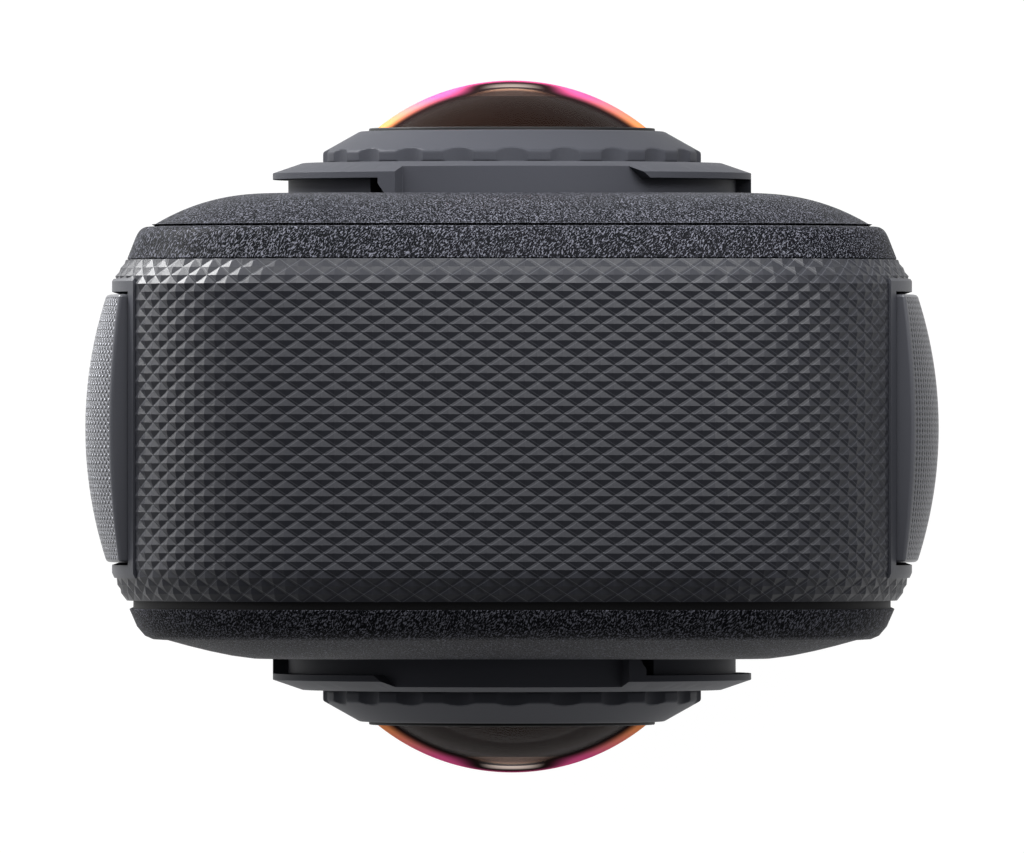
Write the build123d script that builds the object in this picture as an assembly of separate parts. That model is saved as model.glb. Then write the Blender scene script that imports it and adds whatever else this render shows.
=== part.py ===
from build123d import *
import math
import os

# A slim 360 degree camera that stands upright on its base, in millimetres.
# +Z is up, +Y points out of the back cover, and -Y out of the screen side.
# +X is to the right of someone who faces the screen.
# The origin is the middle of the flat base.

# Housing
body_width = 43.1
body_height = 124.5
top_corner_radius = 12.0
base_corner_radius = 9.0
frame_front_y = -9.37
frame_rear_y = 9.0
frame_wall = 2.6
front_bevel_depth = 1.5
front_bevel_inset = 0.67
rear_bevel_depth = 1.18
rear_bevel_inset = 0.76

# Moulded grip round the frame
grip_thickness = 0.5
grip_low_z = 9.5
grip_border = 0.7

# Back cover: a tapered shell and a dome-edged panel on it
rear_shell_inset = 0.81
rear_shell_taper = 0.69
rear_shell_thickness = 1.76
rear_panel_inset = 2.1
rear_panel_run = 6.7
rear_panel_rise = 1.81
rear_panel_power = 2.3
rear_lip_depth = 1.2
rear_gasket_width = 0.7
rear_gasket_depth = 0.7

# Screen side: gasket, round-edged shell and thin panel
front_gasket_inset = 1.15
front_gasket_thickness = 0.43
front_shell_inset = 0.93
front_shell_thickness = 1.68
front_shell_run = 1.7
front_shell_power = 3.0
front_panel_inset = 2.9
front_panel_run = 4.75
front_panel_rise = 1.02
front_panel_power = 1.35
front_lip_depth = 0.9
lip_clearance = 0.1
lip_wall = 1.2
panel_steps = 4

# Lens mounts: bayonet flanges, one at each side of the body
lens_drop = 22.5
flange_height = 1.73
flange_top_radius = 11.4
flange_chamfer_height = 0.55
rim_radius = 13.0
rim_height = 0.9
hub_radius = 12.16
mount_base_radius = 11.8
mount_base_depth = 3.3
mount_gap = 0.1
mount_bore_radius = 9.05
mount_bore_depth = 2.4
tab_spans_deg = ((28.0, 94.0), (143.0, 199.0), (245.0, 331.0))
tab_stop_deg = 4.5
tab_lead_deg = 7.0
stop_slope_deg = 1.5
catch_angle_deg = 323.7
catch_width = 1.1
catch_depth = 1.0

# Fluted lens ring that turns in the mount
turning_clearance = 0.05
spigot_length = 2.1
ring_radius = 10.27
ring_skirt_height = 0.6
ring_cone_height = 1.13
ring_nose_radius = 8.26
flute_count = 22
first_flute_deg = 90.0
flute_radius = 1.6
flute_depth = 0.27

# Outer lens, its lip and the mask under it
dome_ball_radius = 11.6
dome_edge_radius = 7.32
dome_wall = 0.9
dome_skirt_height = 0.9
dome_seal_wall = 0.45
dome_seal_lip = 0.17
throat_wall = 1.17
cell_gap = 0.25
cell_depth = 2.9
cell_bore_radius = 5.2
cell_web = 1.1
pupil_radius = 3.1
mouth_depth = 0.9
inner_lens_radius = 3.4
inner_lens_edge = 1.7
inner_lens_ball_radius = 6.0
mouth_foot_radius = 2.9
inner_lens_clearance = 0.05

# Lens barrels, sensors and the plate between them
barrel_radius = 6.2
barrel_wall = 1.0
barrel_skirt_radius = 8.8
barrel_skirt_wall = 0.7
barrel_skirt_height = 3.1
barrel_roof = 0.8
spreader_thickness = 1.0
spreader_reach = 13.0
sensor_board_size = 20.0
sensor_board_thickness = 0.6
sensor_width = 12.4
sensor_height = 9.8
sensor_thickness = 1.2

# Screen
glass_width = 27.5
glass_corner = 3.0
glass_drop = 3.0
glass_foot = 8.1
glass_gap = 0.12
display_margin = 0.9
display_stand = 0.35

# Buttons below the screen
front_key_z = 16.5
front_key_x = 7.6
front_key_width = 11.0
front_key_height = 6.8
front_key_proud = 0.3
key_clearance = 0.15
key_flange = 0.8
key_flange_thickness = 0.7
key_gap = 0.5
key_dome_radius = 1.9
key_dome_height = 0.3
key_board_thickness = 0.6
key_board_margin = 2.2
light_radius = 0.8
light_drop = 4.0

# Buttons in the right side
side_key_height = 10.0
side_key_depth = 4.2
side_key_proud = 0.25
side_key_spacing = 12.0
side_keys_share = 0.398

# Wind guards: crowned plates let into both sides, bent over the top corners
guard_drop = 32.5
guard_half_depth = 7.2
guard_centre_y = -0.1
guard_floor_inset = 1.1
guard_edge_stand = 0.28
guard_crown_stand = 1.44
guard_bend_deg = 22.0
guard_gap = 0.15
foam_height = 13.0
foam_depth = 8.0
foam_thickness = 1.0
microphone_height_share = 0.463
microphone_radius = 2.0
microphone_height = 1.2
microphone_port_radius = 0.8

# Charging door and socket in the right side
door_height_share = 0.297
door_height = 17.0
door_width = 8.8
door_thickness = 1.5
door_gap = 0.15
door_floor_gap = 0.1
hinge_barrel_radius = 1.0
hinge_stand_back = 0.05
hinge_gap = 0.3
hinge_pin_radius = 0.5
hinge_pin_bite = 0.85
door_corner = 1.5
window_margin = 1.1
window_foot = 2.9
door_seal_gap = 0.25
door_seal_thickness = 0.8
usb_mouth_gap = 0.15
usb_length = 7.3
usb_width = 8.9
usb_thickness = 3.2
usb_wall = 0.35
usb_cavity_depth = 5.6
usb_tongue_thickness = 0.7
usb_tongue_width = 6.6
usb_board_thickness = 0.8
usb_board_height = 16.0

# Battery, its bay and its cap in the left side
bay_floor_z = 26.0
bay_front_space = 2.4
bay_wall = 0.8
bay_end_gap = 0.4
battery_gap = 0.2
battery_end_gap = 0.3
battery_corner = 1.5
spreader_gap = 0.6
cap_thickness = 1.6
cap_gap = 0.15
cap_floor_gap = 0.05
cap_corner = 2.5
cap_seal_width = 0.75
cap_seal_thickness = 0.6
cap_seal_gap = 0.15
latch_length = 5.8
latch_width = 6.0
latch_depth = 1.0
latch_proud = 0.2
latch_travel = 2.2
latch_gap = 0.1
latch_margin = 5.0
latch_rib_count = 3
latch_rib_width = 0.7
latch_rib_height = 0.25
card_zone = 3.2
card_socket_height = 1.6
card_socket_length = 14.0
card_slot_height = 0.8
card_slot_depth = 9.0
contact_count = 4
contact_pitch = 2.2
contact_width = 1.2
contact_height = 6.0
contact_thickness = 0.2

# Boards, speaker, base insert and screws
board_lip_gap = 0.73
board_thickness = 0.8
board_gap = 0.3
board_top_drop = 2.0
can_gap = 0.3
can_width = 26.0
can_foot = 4.0
can_spacing = 4.0
can_height_shares = (0.4, 0.3)
speaker_z = 15.0
speaker_depth = 4.0
speaker_width = 8.0
speaker_height = 11.0
speaker_hole_radius = 0.45
speaker_hole_count = 5
speaker_hole_pitch = 1.9
tripod_thread_radius = 3.175
tripod_thread_length = 5.5
insert_radius = 4.8
insert_recess = 0.3
insert_roof = 0.5
insert_boss_wall = 1.6
insert_boss_roof = 0.6
boss_radius = 2.2
boss_length = 3.2
boss_sink = 0.25
boss_lip_gap = 0.13
standoff_radius = 1.9
screw_radius = 0.8
screw_bite = 2.6
screw_head_radius = 1.4
screw_head_height = 0.9
boss_low_z = 14.0
boss_gap = 0.4
boss_top_drop = 14.5

cut_overrun = 1.0

# Places worked out from the sizes above
side_x = body_width / 2
cavity_x = side_x - frame_wall
corner_x = side_x - top_corner_radius
corner_z = body_height - top_corner_radius
lens_z = body_height - lens_drop

rear_shell_face_y = frame_rear_y + rear_shell_thickness
rear_face_y = rear_shell_face_y + rear_panel_rise
front_shell_inner_y = frame_front_y - front_gasket_thickness
front_shell_face_y = front_shell_inner_y - front_shell_thickness
front_face_y = front_shell_face_y - front_panel_rise
lip_inset = frame_wall + lip_clearance

flange_top_a = rear_face_y + flange_height
rim_low_a = flange_top_a - rim_height
ledge_a = flange_top_a - mount_bore_depth
spigot_low_a = flange_top_a - spigot_length
nose_a = flange_top_a + ring_skirt_height + ring_cone_height
seal_top_a = nose_a + dome_seal_lip
shoulder_a = seal_top_a - dome_skirt_height
dome_rise_below = math.sqrt(dome_ball_radius**2 - dome_edge_radius**2)
dome_centre_a = seal_top_a - dome_rise_below
dome_seal_radius = dome_edge_radius + dome_seal_wall
throat_radius = dome_seal_radius - throat_wall
cell_low_a = shoulder_a - cell_depth
cell_cap_radius = dome_edge_radius - dome_wall - cell_gap
cell_ball_radius = dome_ball_radius - dome_wall - cell_gap
pupil_a = dome_centre_a + math.sqrt(cell_ball_radius**2 - pupil_radius**2)
lens_seat_a = pupil_a - mouth_depth

spreader_low_z = lens_z - spreader_reach
board_foot_a = spreader_thickness / 2
sensor_foot_a = board_foot_a + sensor_board_thickness
barrel_roof_a = sensor_foot_a + barrel_skirt_height

glass_top_z = lens_z - rim_radius - glass_drop
glass_low_z = front_key_z + front_key_height / 2 + glass_foot
glass_height = glass_top_z - glass_low_z
glass_z = (glass_top_z + glass_low_z) / 2
light_z = glass_low_z - light_drop
key_flange_y = front_shell_inner_y + key_flange_thickness
key_dome_y = key_flange_y + key_gap
key_board_y = key_dome_y + key_dome_height

board_rear_y = frame_rear_y - rear_lip_depth - board_lip_gap
board_front_y = board_rear_y - board_thickness
bay_rear_y = board_front_y - board_gap
bay_front_y = frame_front_y + bay_front_space
bay_y = (bay_rear_y + bay_front_y) / 2
bay_depth = bay_rear_y - bay_front_y
bay_top_z = spreader_low_z - spreader_gap
bay_height = bay_top_z - bay_floor_z
bay_z = (bay_top_z + bay_floor_z) / 2
window_depth = bay_depth - 2 * bay_wall
window_height = bay_height - 2 * bay_wall
card_socket_depth = window_depth - 2 * battery_corner
usb_mouth_x = cavity_x - usb_mouth_gap
usb_back_x = usb_mouth_x - usb_length
bay_end_x = usb_back_x - bay_end_gap
battery_end_x = bay_end_x - bay_wall - battery_end_gap
cap_floor_x = side_x - cap_thickness
battery_low_z = bay_floor_z + bay_wall + battery_gap
battery_top_z = bay_top_z - bay_wall - card_zone
board_top_z = bay_top_z - board_top_drop

side_flange_x = cavity_x - key_flange_thickness
side_dome_x = side_flange_x - key_gap
side_board_x = side_dome_x - key_dome_height

guard_floor_x = side_x - guard_floor_inset
foam_x = guard_floor_x + foam_thickness

door_z = door_height_share * body_height
hinge_x = side_x - hinge_stand_back - hinge_barrel_radius
hinge_z = door_z - door_height / 2 + hinge_barrel_radius
door_top_z = door_z + door_height / 2
door_inner_x = side_x - door_thickness
window_low_z = hinge_z + window_foot
window_top_z = door_top_z - window_margin
guard_low_z = body_height - guard_drop
microphone_z = guard_low_z + microphone_height_share * (corner_z - guard_low_z)
side_keys_z = door_top_z + side_keys_share * (guard_low_z - door_top_z)
power_key_z = side_keys_z + side_key_spacing / 2
quick_key_z = side_keys_z - side_key_spacing / 2

boss_x = cavity_x + boss_sink - boss_radius
boss_face_y = frame_rear_y - rear_lip_depth - boss_lip_gap
boss_zs = (boss_low_z, bay_top_z + boss_gap + boss_radius, body_height - boss_top_drop)
screw_head_y = rear_shell_face_y - screw_head_height
insert_top_z = insert_recess + tripod_thread_length + insert_roof

rear_lens_place = Plane(origin=(0, 0, lens_z), x_dir=(-1, 0, 0), z_dir=(0, 1, 0)).location
front_lens_place = Plane(origin=(0, 0, lens_z), x_dir=(1, 0, 0), z_dir=(0, -1, 0)).location
lens_places = {"rear": rear_lens_place, "front": front_lens_place}
panel_faces_a = {"rear": rear_face_y, "front": -front_face_y}


def box_between(low, high):
    """A box between two opposite corners."""
    sizes = [top - bottom for bottom, top in zip(low, high)]
    middle = [(top + bottom) / 2 for bottom, top in zip(low, high)]
    return Pos(*middle) * Box(*sizes)


def bar_along_y(radius, x, z, y_low, y_high):
    """A round bar along Y."""
    foot = Plane(origin=(x, y_low, z), z_dir=(0, 1, 0)).location
    return foot * Cylinder(radius, y_high - y_low, align=(Align.CENTER, Align.CENTER, Align.MIN))


def bar_along_x(radius, y, z, x_low, x_high):
    """A round bar along X."""
    foot = Plane(origin=(x_low, y, z), z_dir=(1, 0, 0)).location
    return foot * Cylinder(radius, x_high - x_low, align=(Align.CENTER, Align.CENTER, Align.MIN))


def tube_along_z(radius, low, high):
    """A round bar up the Z axis."""
    return Pos(0, 0, low) * Cylinder(radius, high - low, align=(Align.CENTER, Align.CENTER, Align.MIN))


def prism_along_y(sketch, x, z, y_low, y_high):
    """A sketch drawn as seen from the screen side, made solid between two depths."""
    plane = Plane(origin=(x, y_high, z), x_dir=(1, 0, 0), z_dir=(0, -1, 0))
    return extrude(plane * sketch, amount=y_high - y_low)


def prism_along_x(sketch, y, z, x_low, x_high):
    """A sketch whose width runs along Y and height along Z, made solid between two X places."""
    plane = Plane(origin=(x_high, y, z), x_dir=(0, 1, 0), z_dir=(-1, 0, 0))
    return extrude(plane * sketch, amount=x_high - x_low)


def pill(long_size, short_size, upright=False):
    """A stadium outline."""
    return SlotOverall(long_size, short_size, rotation=90 if upright else 0)


def turned(*points):
    """A solid turned round the Z axis from a closed outline of radius and height."""
    outline = make_face(Polyline(*points, close=True))
    return revolve(Plane.XZ * outline, axis=Axis.Z)


def to_left(shape):
    """The mirror image of a right-hand piece, in the left side."""
    return mirror(shape, about=Plane.YZ)


def body_outline(inset):
    """The body's front outline, drawn in by an inset: large top corners, smaller base corners."""
    shape = Rectangle(body_width - 2 * inset, body_height - 2 * inset)
    top_corners = shape.vertices().group_by(Axis.Y)[-1]
    shape = fillet(top_corners, radius=top_corner_radius - inset)
    base_corners = shape.vertices().group_by(Axis.Y)[0]
    return fillet(base_corners, radius=base_corner_radius - inset)


def body_section(y, inset):
    """The body's outline at one depth."""
    plane = Plane(origin=(0, y, body_height / 2), x_dir=(1, 0, 0), z_dir=(0, -1, 0))
    return plane * body_outline(inset)


def body_slab(y_low, y_high, inset):
    """A straight slab of the body's outline."""
    return extrude(body_section(y_high, inset), amount=y_high - y_low)


def body_ring(y_low, y_high, outer_inset, inner_inset):
    """A flat ring that follows the body's outline."""
    inner = body_slab(y_low - cut_overrun, y_high + cut_overrun, inner_inset)
    return body_slab(y_low, y_high, outer_inset) - inner


def frame_form(inset):
    """The frame's bevelled outer form, drawn in by an inset."""
    stations = (
        (frame_front_y, front_bevel_inset),
        (frame_front_y + front_bevel_depth, 0),
        (frame_rear_y - rear_bevel_depth, 0),
        (frame_rear_y, rear_bevel_inset),
    )
    return loft([body_section(y, inset + bevel) for y, bevel in stations], ruled=True)


def domed_panel(foot_y, outward, foot_inset, run, rise, power):
    """A flat panel whose edge rises from its foot in a smooth dome."""
    sections = []
    for step in range(panel_steps + 1):
        along = step / panel_steps
        height = rise * (1 - (1 - along) ** power)
        sections.append(body_section(foot_y + outward * height, foot_inset + run * along))
    return loft(sections, ruled=True)


def side_wrap(inner_x, edge_x, crown_x, half_depth, low_z, bend_deg):
    """A plate in the right side that bends over the top corner, crowned across its depth."""
    front_y = guard_centre_y - half_depth
    rear_y = guard_centre_y + half_depth
    straight = Polyline((edge_x, rear_y), (inner_x, rear_y), (inner_x, front_y), (edge_x, front_y))
    if crown_x > edge_x:
        face_line = ThreePointArc((edge_x, front_y), (crown_x, guard_centre_y), (edge_x, rear_y))
    else:
        face_line = Line((edge_x, front_y), (edge_x, rear_y))
    profile = Pos(0, 0, corner_z) * make_face(straight + face_line)
    upright = extrude(profile, amount=low_z - corner_z, dir=(0, 0, 1))
    bend = revolve(profile, axis=Axis((corner_x, 0, corner_z), (0, -1, 0)), revolution_arc=bend_deg)
    return upright + bend


def guard_margin_deg(margin):
    """The angle that a margin takes on the top corner."""
    return math.degrees(margin / top_corner_radius)


def guard_recess():
    """The pocket that a wind guard sits in."""
    bend_deg = guard_bend_deg + guard_margin_deg(guard_gap)
    outer_x = side_x + cut_overrun
    depth = guard_half_depth + guard_gap
    return side_wrap(guard_floor_x, outer_x, outer_x, depth, guard_low_z - guard_gap, bend_deg)


def guard_pad():
    """The smooth border that the grip leaves round a wind guard."""
    margin = guard_gap + grip_border
    bend_deg = guard_bend_deg + guard_margin_deg(margin)
    outer_x = side_x + cut_overrun
    depth = guard_half_depth + margin
    return side_wrap(cavity_x, outer_x, outer_x, depth, guard_low_z - margin, bend_deg)


def cap_outline(margin):
    """The battery cap's outline with a margin round it."""
    return RectangleRounded(bay_depth + 2 * margin, bay_height + 2 * margin, cap_corner + margin)


def window_outline(margin):
    """The battery window's outline with a margin round it."""
    return RectangleRounded(
        window_depth + 2 * margin, window_height + 2 * margin, battery_corner + margin
    )


def door_outline(margin):
    """The charging door's outline with a margin round it."""
    return RectangleRounded(door_width + 2 * margin, door_height + 2 * margin, door_corner + margin)


def socket_window(margin):
    """The opening behind the charging door, drawn in by a margin."""
    width = door_width - 2 * window_margin - 2 * margin
    height = window_top_z - window_low_z - 2 * margin
    return RectangleRounded(width, height, door_corner - margin)


def speaker_hole_zs():
    """The heights of the speaker's holes."""
    lowest = speaker_z - speaker_hole_pitch * (speaker_hole_count - 1) / 2
    return [lowest + speaker_hole_pitch * step for step in range(speaker_hole_count)]


def grip_pads():
    """Everything in the sides that the grip leaves bare."""
    inner_x = cavity_x
    outer_x = side_x + cut_overrun
    cap_margin = cap_gap + grip_border
    key_margin = 2 * (key_clearance + grip_border)
    key_outline = pill(side_key_height + key_margin, side_key_depth + key_margin, upright=True)
    speaker_outline = pill(
        speaker_hole_pitch * speaker_hole_count + grip_border, 2 * grip_border + speaker_hole_pitch,
        upright=True,
    )
    door_pad = prism_along_x(door_outline(door_gap + grip_border), bay_y, door_z, inner_x, outer_x)
    return [
        guard_pad(),
        to_left(guard_pad()),
        to_left(prism_along_x(cap_outline(cap_margin), bay_y, bay_z, inner_x, outer_x)),
        door_pad,
        prism_along_x(key_outline, bay_y, power_key_z, inner_x, outer_x),
        prism_along_x(key_outline, bay_y, quick_key_z, inner_x, outer_x),
        prism_along_x(speaker_outline, bay_y, speaker_z, inner_x, outer_x),
    ]


def grip_skin():
    """The grip's base layer round the frame's sides and top."""
    skin = frame_form(0) - frame_form(grip_thickness)
    low = (-body_width, frame_front_y - cut_overrun, -cut_overrun)
    high = (body_width, frame_rear_y + cut_overrun, grip_low_z)
    return skin - box_between(low, high) - grip_pads()


def frame_bosses():
    """Screw bosses inside the frame and the boss for the base insert."""
    bosses = [
        bar_along_y(boss_radius, side * boss_x, z, boss_face_y - boss_length, boss_face_y)
        for z in boss_zs
        for side in (-1, 1)
    ]
    boss_top = insert_top_z + insert_boss_roof
    bosses.append(tube_along_z(insert_radius + insert_boss_wall, frame_wall / 2, boss_top))
    return bosses


def screw_holes(y_low, y_high, radius):
    """Bars where the six cover screws pass."""
    return [
        bar_along_y(radius, side * boss_x, z, y_low, y_high) for z in boss_zs for side in (-1, 1)
    ]


def door_pocket():
    """What the frame gives up for the charging door, its hinge and its window."""
    outer_x = side_x + cut_overrun
    half_width = door_width / 2 + door_gap
    floor_x = door_inner_x - door_floor_gap
    turning_radius = hinge_barrel_radius + hinge_gap
    seat = prism_along_x(door_outline(door_gap), bay_y, door_z, floor_x, outer_x)
    foot_low = (hinge_x, bay_y - half_width, hinge_z - turning_radius)
    foot_high = (outer_x, bay_y + half_width, hinge_z)
    foot = box_between(foot_low, foot_high)
    barrel = bar_along_y(turning_radius, hinge_x, hinge_z, bay_y - half_width, bay_y + half_width)
    pin_reach = half_width + hinge_pin_bite
    pin_bore = bar_along_y(hinge_pin_radius, hinge_x, hinge_z, bay_y - pin_reach, bay_y + pin_reach)
    window_z = (window_low_z + window_top_z) / 2
    window = prism_along_x(socket_window(0), bay_y, window_z, cavity_x - cut_overrun, outer_x)
    return seat + foot + barrel + pin_bore + window


def battery_pocket():
    """What the frame gives up in its left side for the battery and its cap."""
    outer_x = side_x + cut_overrun
    floor_x = cap_floor_x - cap_floor_gap
    seal_floor_x = cap_floor_x - cap_seal_thickness - cap_floor_gap
    seal_margin = cap_seal_width + cap_seal_gap
    cap_seat = prism_along_x(cap_outline(cap_gap), bay_y, bay_z, floor_x, outer_x)
    seal_seat = prism_along_x(window_outline(seal_margin), bay_y, bay_z, seal_floor_x, outer_x)
    window = prism_along_x(window_outline(0), bay_y, bay_z, cavity_x - cut_overrun, outer_x)
    return to_left(cap_seat + seal_seat + window)


def side_key_holes():
    """The openings for the two buttons in the right side."""
    outline = pill(
        side_key_height + 2 * key_clearance, side_key_depth + 2 * key_clearance, upright=True
    )
    low_x = cavity_x - cut_overrun
    high_x = side_x + cut_overrun
    return [prism_along_x(outline, bay_y, z, low_x, high_x) for z in (power_key_z, quick_key_z)]


def mid_frame(skin):
    """The centre housing: a walled ring with every pocket and boss that it carries."""
    cavity = body_slab(frame_front_y - cut_overrun, frame_rear_y + cut_overrun, frame_wall)
    frame = frame_form(0) - skin - cavity
    frame = frame + frame_bosses()
    port_y = guard_centre_y
    port = bar_along_x(
        microphone_port_radius, port_y, microphone_z, cavity_x - cut_overrun, side_x
    )
    speaker_holes = [
        bar_along_x(speaker_hole_radius, bay_y, z, cavity_x - cut_overrun, side_x + cut_overrun)
        for z in speaker_hole_zs()
    ]
    insert_bore = tube_along_z(insert_radius, -cut_overrun, insert_top_z)
    cutters = [guard_recess(), to_left(guard_recess()), port, to_left(port), insert_bore]
    cutters += [door_pocket(), battery_pocket()]
    cutters += side_key_holes() + speaker_holes
    cutters += screw_holes(boss_face_y - screw_bite, frame_rear_y, screw_radius)
    for cutter in cutters:
        frame = frame - cutter
    return frame


def rear_shell():
    """The back cover's tapered shell with its lip, screw standoffs and lens opening."""
    top_inset = rear_shell_inset + rear_shell_taper
    foot = body_section(frame_rear_y, rear_shell_inset)
    top = body_section(rear_shell_face_y, top_inset)
    lip = body_ring(frame_rear_y - rear_lip_depth, frame_rear_y, lip_inset, lip_inset + lip_wall)
    standoffs = screw_holes(boss_face_y, frame_rear_y, standoff_radius)
    shell = loft([foot, top], ruled=True) + lip + standoffs
    cutters = screw_holes(boss_face_y, rear_shell_face_y, screw_radius)
    cutters += screw_holes(screw_head_y, rear_shell_face_y + cut_overrun, screw_head_radius)
    cutters.append(rear_gasket())
    cutters.append(lens_opening(0, rear_face_y))
    return shell - cutters


def rear_gasket():
    """The seal in a groove round the back shell's lip."""
    middle_y = frame_rear_y - rear_lip_depth / 2
    low_y = middle_y - rear_gasket_depth / 2
    return body_ring(low_y, low_y + rear_gasket_depth, frame_wall, frame_wall + rear_gasket_width)


def lens_opening(y_low, y_high):
    """The round opening that a lens mount fills."""
    return bar_along_y(mount_base_radius + mount_gap, 0, lens_z, y_low, y_high)


def rear_panel():
    """The raised back panel with its domed edge."""
    panel = domed_panel(
        rear_shell_face_y, 1, rear_panel_inset, rear_panel_run, rear_panel_rise, rear_panel_power
    )
    return panel - lens_opening(0, rear_face_y + cut_overrun)


def front_gasket():
    """The seal that shows as a groove between the frame and the front shell."""
    return body_ring(front_shell_inner_y, frame_front_y, front_gasket_inset, frame_wall)


def front_openings():
    """The openings for the buttons and the status light."""
    outline = pill(front_key_width + 2 * key_clearance, front_key_height + 2 * key_clearance)
    low_y = front_face_y - cut_overrun
    high_y = front_shell_inner_y + cut_overrun
    keys = [
        prism_along_y(outline, side * front_key_x, front_key_z, low_y, high_y) for side in (-1, 1)
    ]
    return keys + [bar_along_y(light_radius, 0, light_z, low_y, high_y)]


def display_outline():
    """The outline of the display and of its window in the front shell."""
    return RectangleRounded(
        glass_width - 2 * display_margin,
        glass_height - 2 * display_margin,
        glass_corner - display_margin,
    )


def front_shell():
    """The round-edged shell on the screen side, with its lip and openings."""
    plate = domed_panel(
        front_shell_inner_y, -1, front_shell_inset, front_shell_run, front_shell_thickness,
        front_shell_power,
    )
    lip_end_y = frame_front_y + front_lip_depth
    lip = body_ring(front_shell_inner_y, lip_end_y, lip_inset, lip_inset + lip_wall)
    display_window = prism_along_y(
        display_outline(), 0, glass_z, front_face_y, front_shell_inner_y + cut_overrun
    )
    return plate + lip - front_openings() - display_window - lens_opening(front_face_y, 0)


def front_panel():
    """The thin raised panel on the screen side, with its openings."""
    panel = domed_panel(
        front_shell_face_y, -1, front_panel_inset, front_panel_run, front_panel_rise,
        front_panel_power,
    )
    gap = 2 * glass_gap
    glass_window = prism_along_y(
        RectangleRounded(glass_width + gap, glass_height + gap, glass_corner + glass_gap),
        0, glass_z, front_face_y - cut_overrun, front_shell_inner_y,
    )
    opening = lens_opening(front_face_y - cut_overrun, 0)
    return panel - front_openings() - glass_window - opening


def sector(start_deg, end_deg, height_a):
    """A wide flat wedge between two angles, measured from the top."""
    reach = 2 * rim_radius
    points = [(0, 0)]
    for step in range(4):
        angle = math.radians(90 + start_deg + (end_deg - start_deg) * step / 3)
        points.append((reach * math.cos(angle), reach * math.sin(angle)))
    return Pos(0, 0, height_a) * make_face(Polyline(*points, close=True))


def rim_band(low_a, high_a, wedge):
    """What a wedge takes from the flange outside its hub."""
    band = tube_along_z(rim_radius + cut_overrun, low_a, high_a)
    return (band - tube_along_z(hub_radius, low_a, high_a)) & wedge


def bayonet_cuts(foot_a):
    """Everything outside the hub that isn't a tab: a groove under each tab as far as its stop,
    the slope that thins the tab's leading end, and the bare hub between one tab and the next."""
    cuts = []
    for place, (start, end) in enumerate(tab_spans_deg):
        stop = end - tab_stop_deg
        low = sector(start, stop + stop_slope_deg, foot_a)
        high = sector(start, stop - stop_slope_deg, rim_low_a)
        cuts.append(rim_band(foot_a, rim_low_a, loft([low, high], ruled=True)))
        thin_low = sector(start, start + tab_lead_deg, rim_low_a)
        thin_high = sector(start, start + stop_slope_deg, flange_top_a)
        cuts.append(rim_band(rim_low_a, flange_top_a, loft([thin_low, thin_high], ruled=True)))
        next_start = tab_spans_deg[(place + 1) % len(tab_spans_deg)][0]
        gap_deg = (next_start - end) % 360
        bare = extrude(sector(end, end + gap_deg, foot_a), amount=flange_top_a - foot_a)
        cuts.append(rim_band(foot_a, flange_top_a, bare))
    return cuts


def lens_mount(foot_a):
    """A bayonet flange on its base, with three undercut tabs and a catch pocket."""
    flange = turned(
        (barrel_radius, foot_a - mount_base_depth),
        (mount_base_radius, foot_a - mount_base_depth),
        (mount_base_radius, foot_a),
        (rim_radius, foot_a),
        (rim_radius, flange_top_a - flange_chamfer_height),
        (flange_top_radius, flange_top_a),
        (mount_bore_radius, flange_top_a),
        (mount_bore_radius, ledge_a),
        (barrel_radius, ledge_a),
    )
    catch = box_between(
        (hub_radius - catch_depth, -catch_width / 2, foot_a),
        (hub_radius + catch_depth, catch_width / 2, rim_low_a),
    )
    catch = Rot(0, 0, 90 + catch_angle_deg) * catch
    for cut in bayonet_cuts(foot_a):
        flange = flange - cut
    return flange - catch


def lens_ring():
    """The fluted ring that holds the outer lens and turns in the mount."""
    spigot_radius = mount_bore_radius - turning_clearance
    ring = turned(
        (throat_radius, spigot_low_a),
        (spigot_radius, spigot_low_a),
        (spigot_radius, flange_top_a),
        (ring_radius, flange_top_a),
        (ring_radius, flange_top_a + ring_skirt_height),
        (ring_nose_radius, nose_a),
        (dome_seal_radius, nose_a),
        (dome_seal_radius, shoulder_a),
        (throat_radius, shoulder_a),
    )
    flute = tube_along_z(flute_radius, flange_top_a, nose_a)
    flute_path_radius = ring_radius - flute_depth + flute_radius
    places = PolarLocations(flute_path_radius, flute_count, start_angle=first_flute_deg)
    return ring - [place * flute for place in places]


def ball_plug(radius, ball_radius, centre_a, low_a):
    """A round plug with a spherical top."""
    ball = Pos(0, 0, centre_a) * Sphere(ball_radius)
    return ball & tube_along_z(radius, low_a, centre_a + ball_radius + cut_overrun)


def lens_dome():
    """The fisheye outer element: a spherical bowl on a straight skirt."""
    outer = ball_plug(dome_edge_radius, dome_ball_radius, dome_centre_a, shoulder_a)
    inner_radius = dome_edge_radius - dome_wall
    inner_ball = dome_ball_radius - dome_wall
    return outer - ball_plug(inner_radius, inner_ball, dome_centre_a, shoulder_a - cut_overrun)


def dome_seal():
    """The black lip between the dome and its ring."""
    return turned(
        (dome_edge_radius, shoulder_a),
        (dome_seal_radius, shoulder_a),
        (dome_seal_radius, seal_top_a),
        (dome_edge_radius, seal_top_a),
    )


def lens_cell():
    """The black mask that follows the dome from inside, open at the pupil."""
    cap = ball_plug(cell_cap_radius, cell_ball_radius, dome_centre_a, shoulder_a)
    collar = tube_along_z(throat_radius, cell_low_a, shoulder_a)
    web_a = lens_seat_a - inner_lens_edge - cell_web
    bore = tube_along_z(cell_bore_radius, cell_low_a, web_a)
    seat = tube_along_z(inner_lens_radius, web_a, lens_seat_a)
    slope = (pupil_radius - mouth_foot_radius) / mouth_depth
    mouth_top_a = pupil_a + cut_overrun
    mouth = turned(
        (0, lens_seat_a),
        (mouth_foot_radius, lens_seat_a),
        (pupil_radius + slope * cut_overrun, mouth_top_a),
        (0, mouth_top_a),
    )
    return cap + collar - bore - seat - mouth


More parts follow.
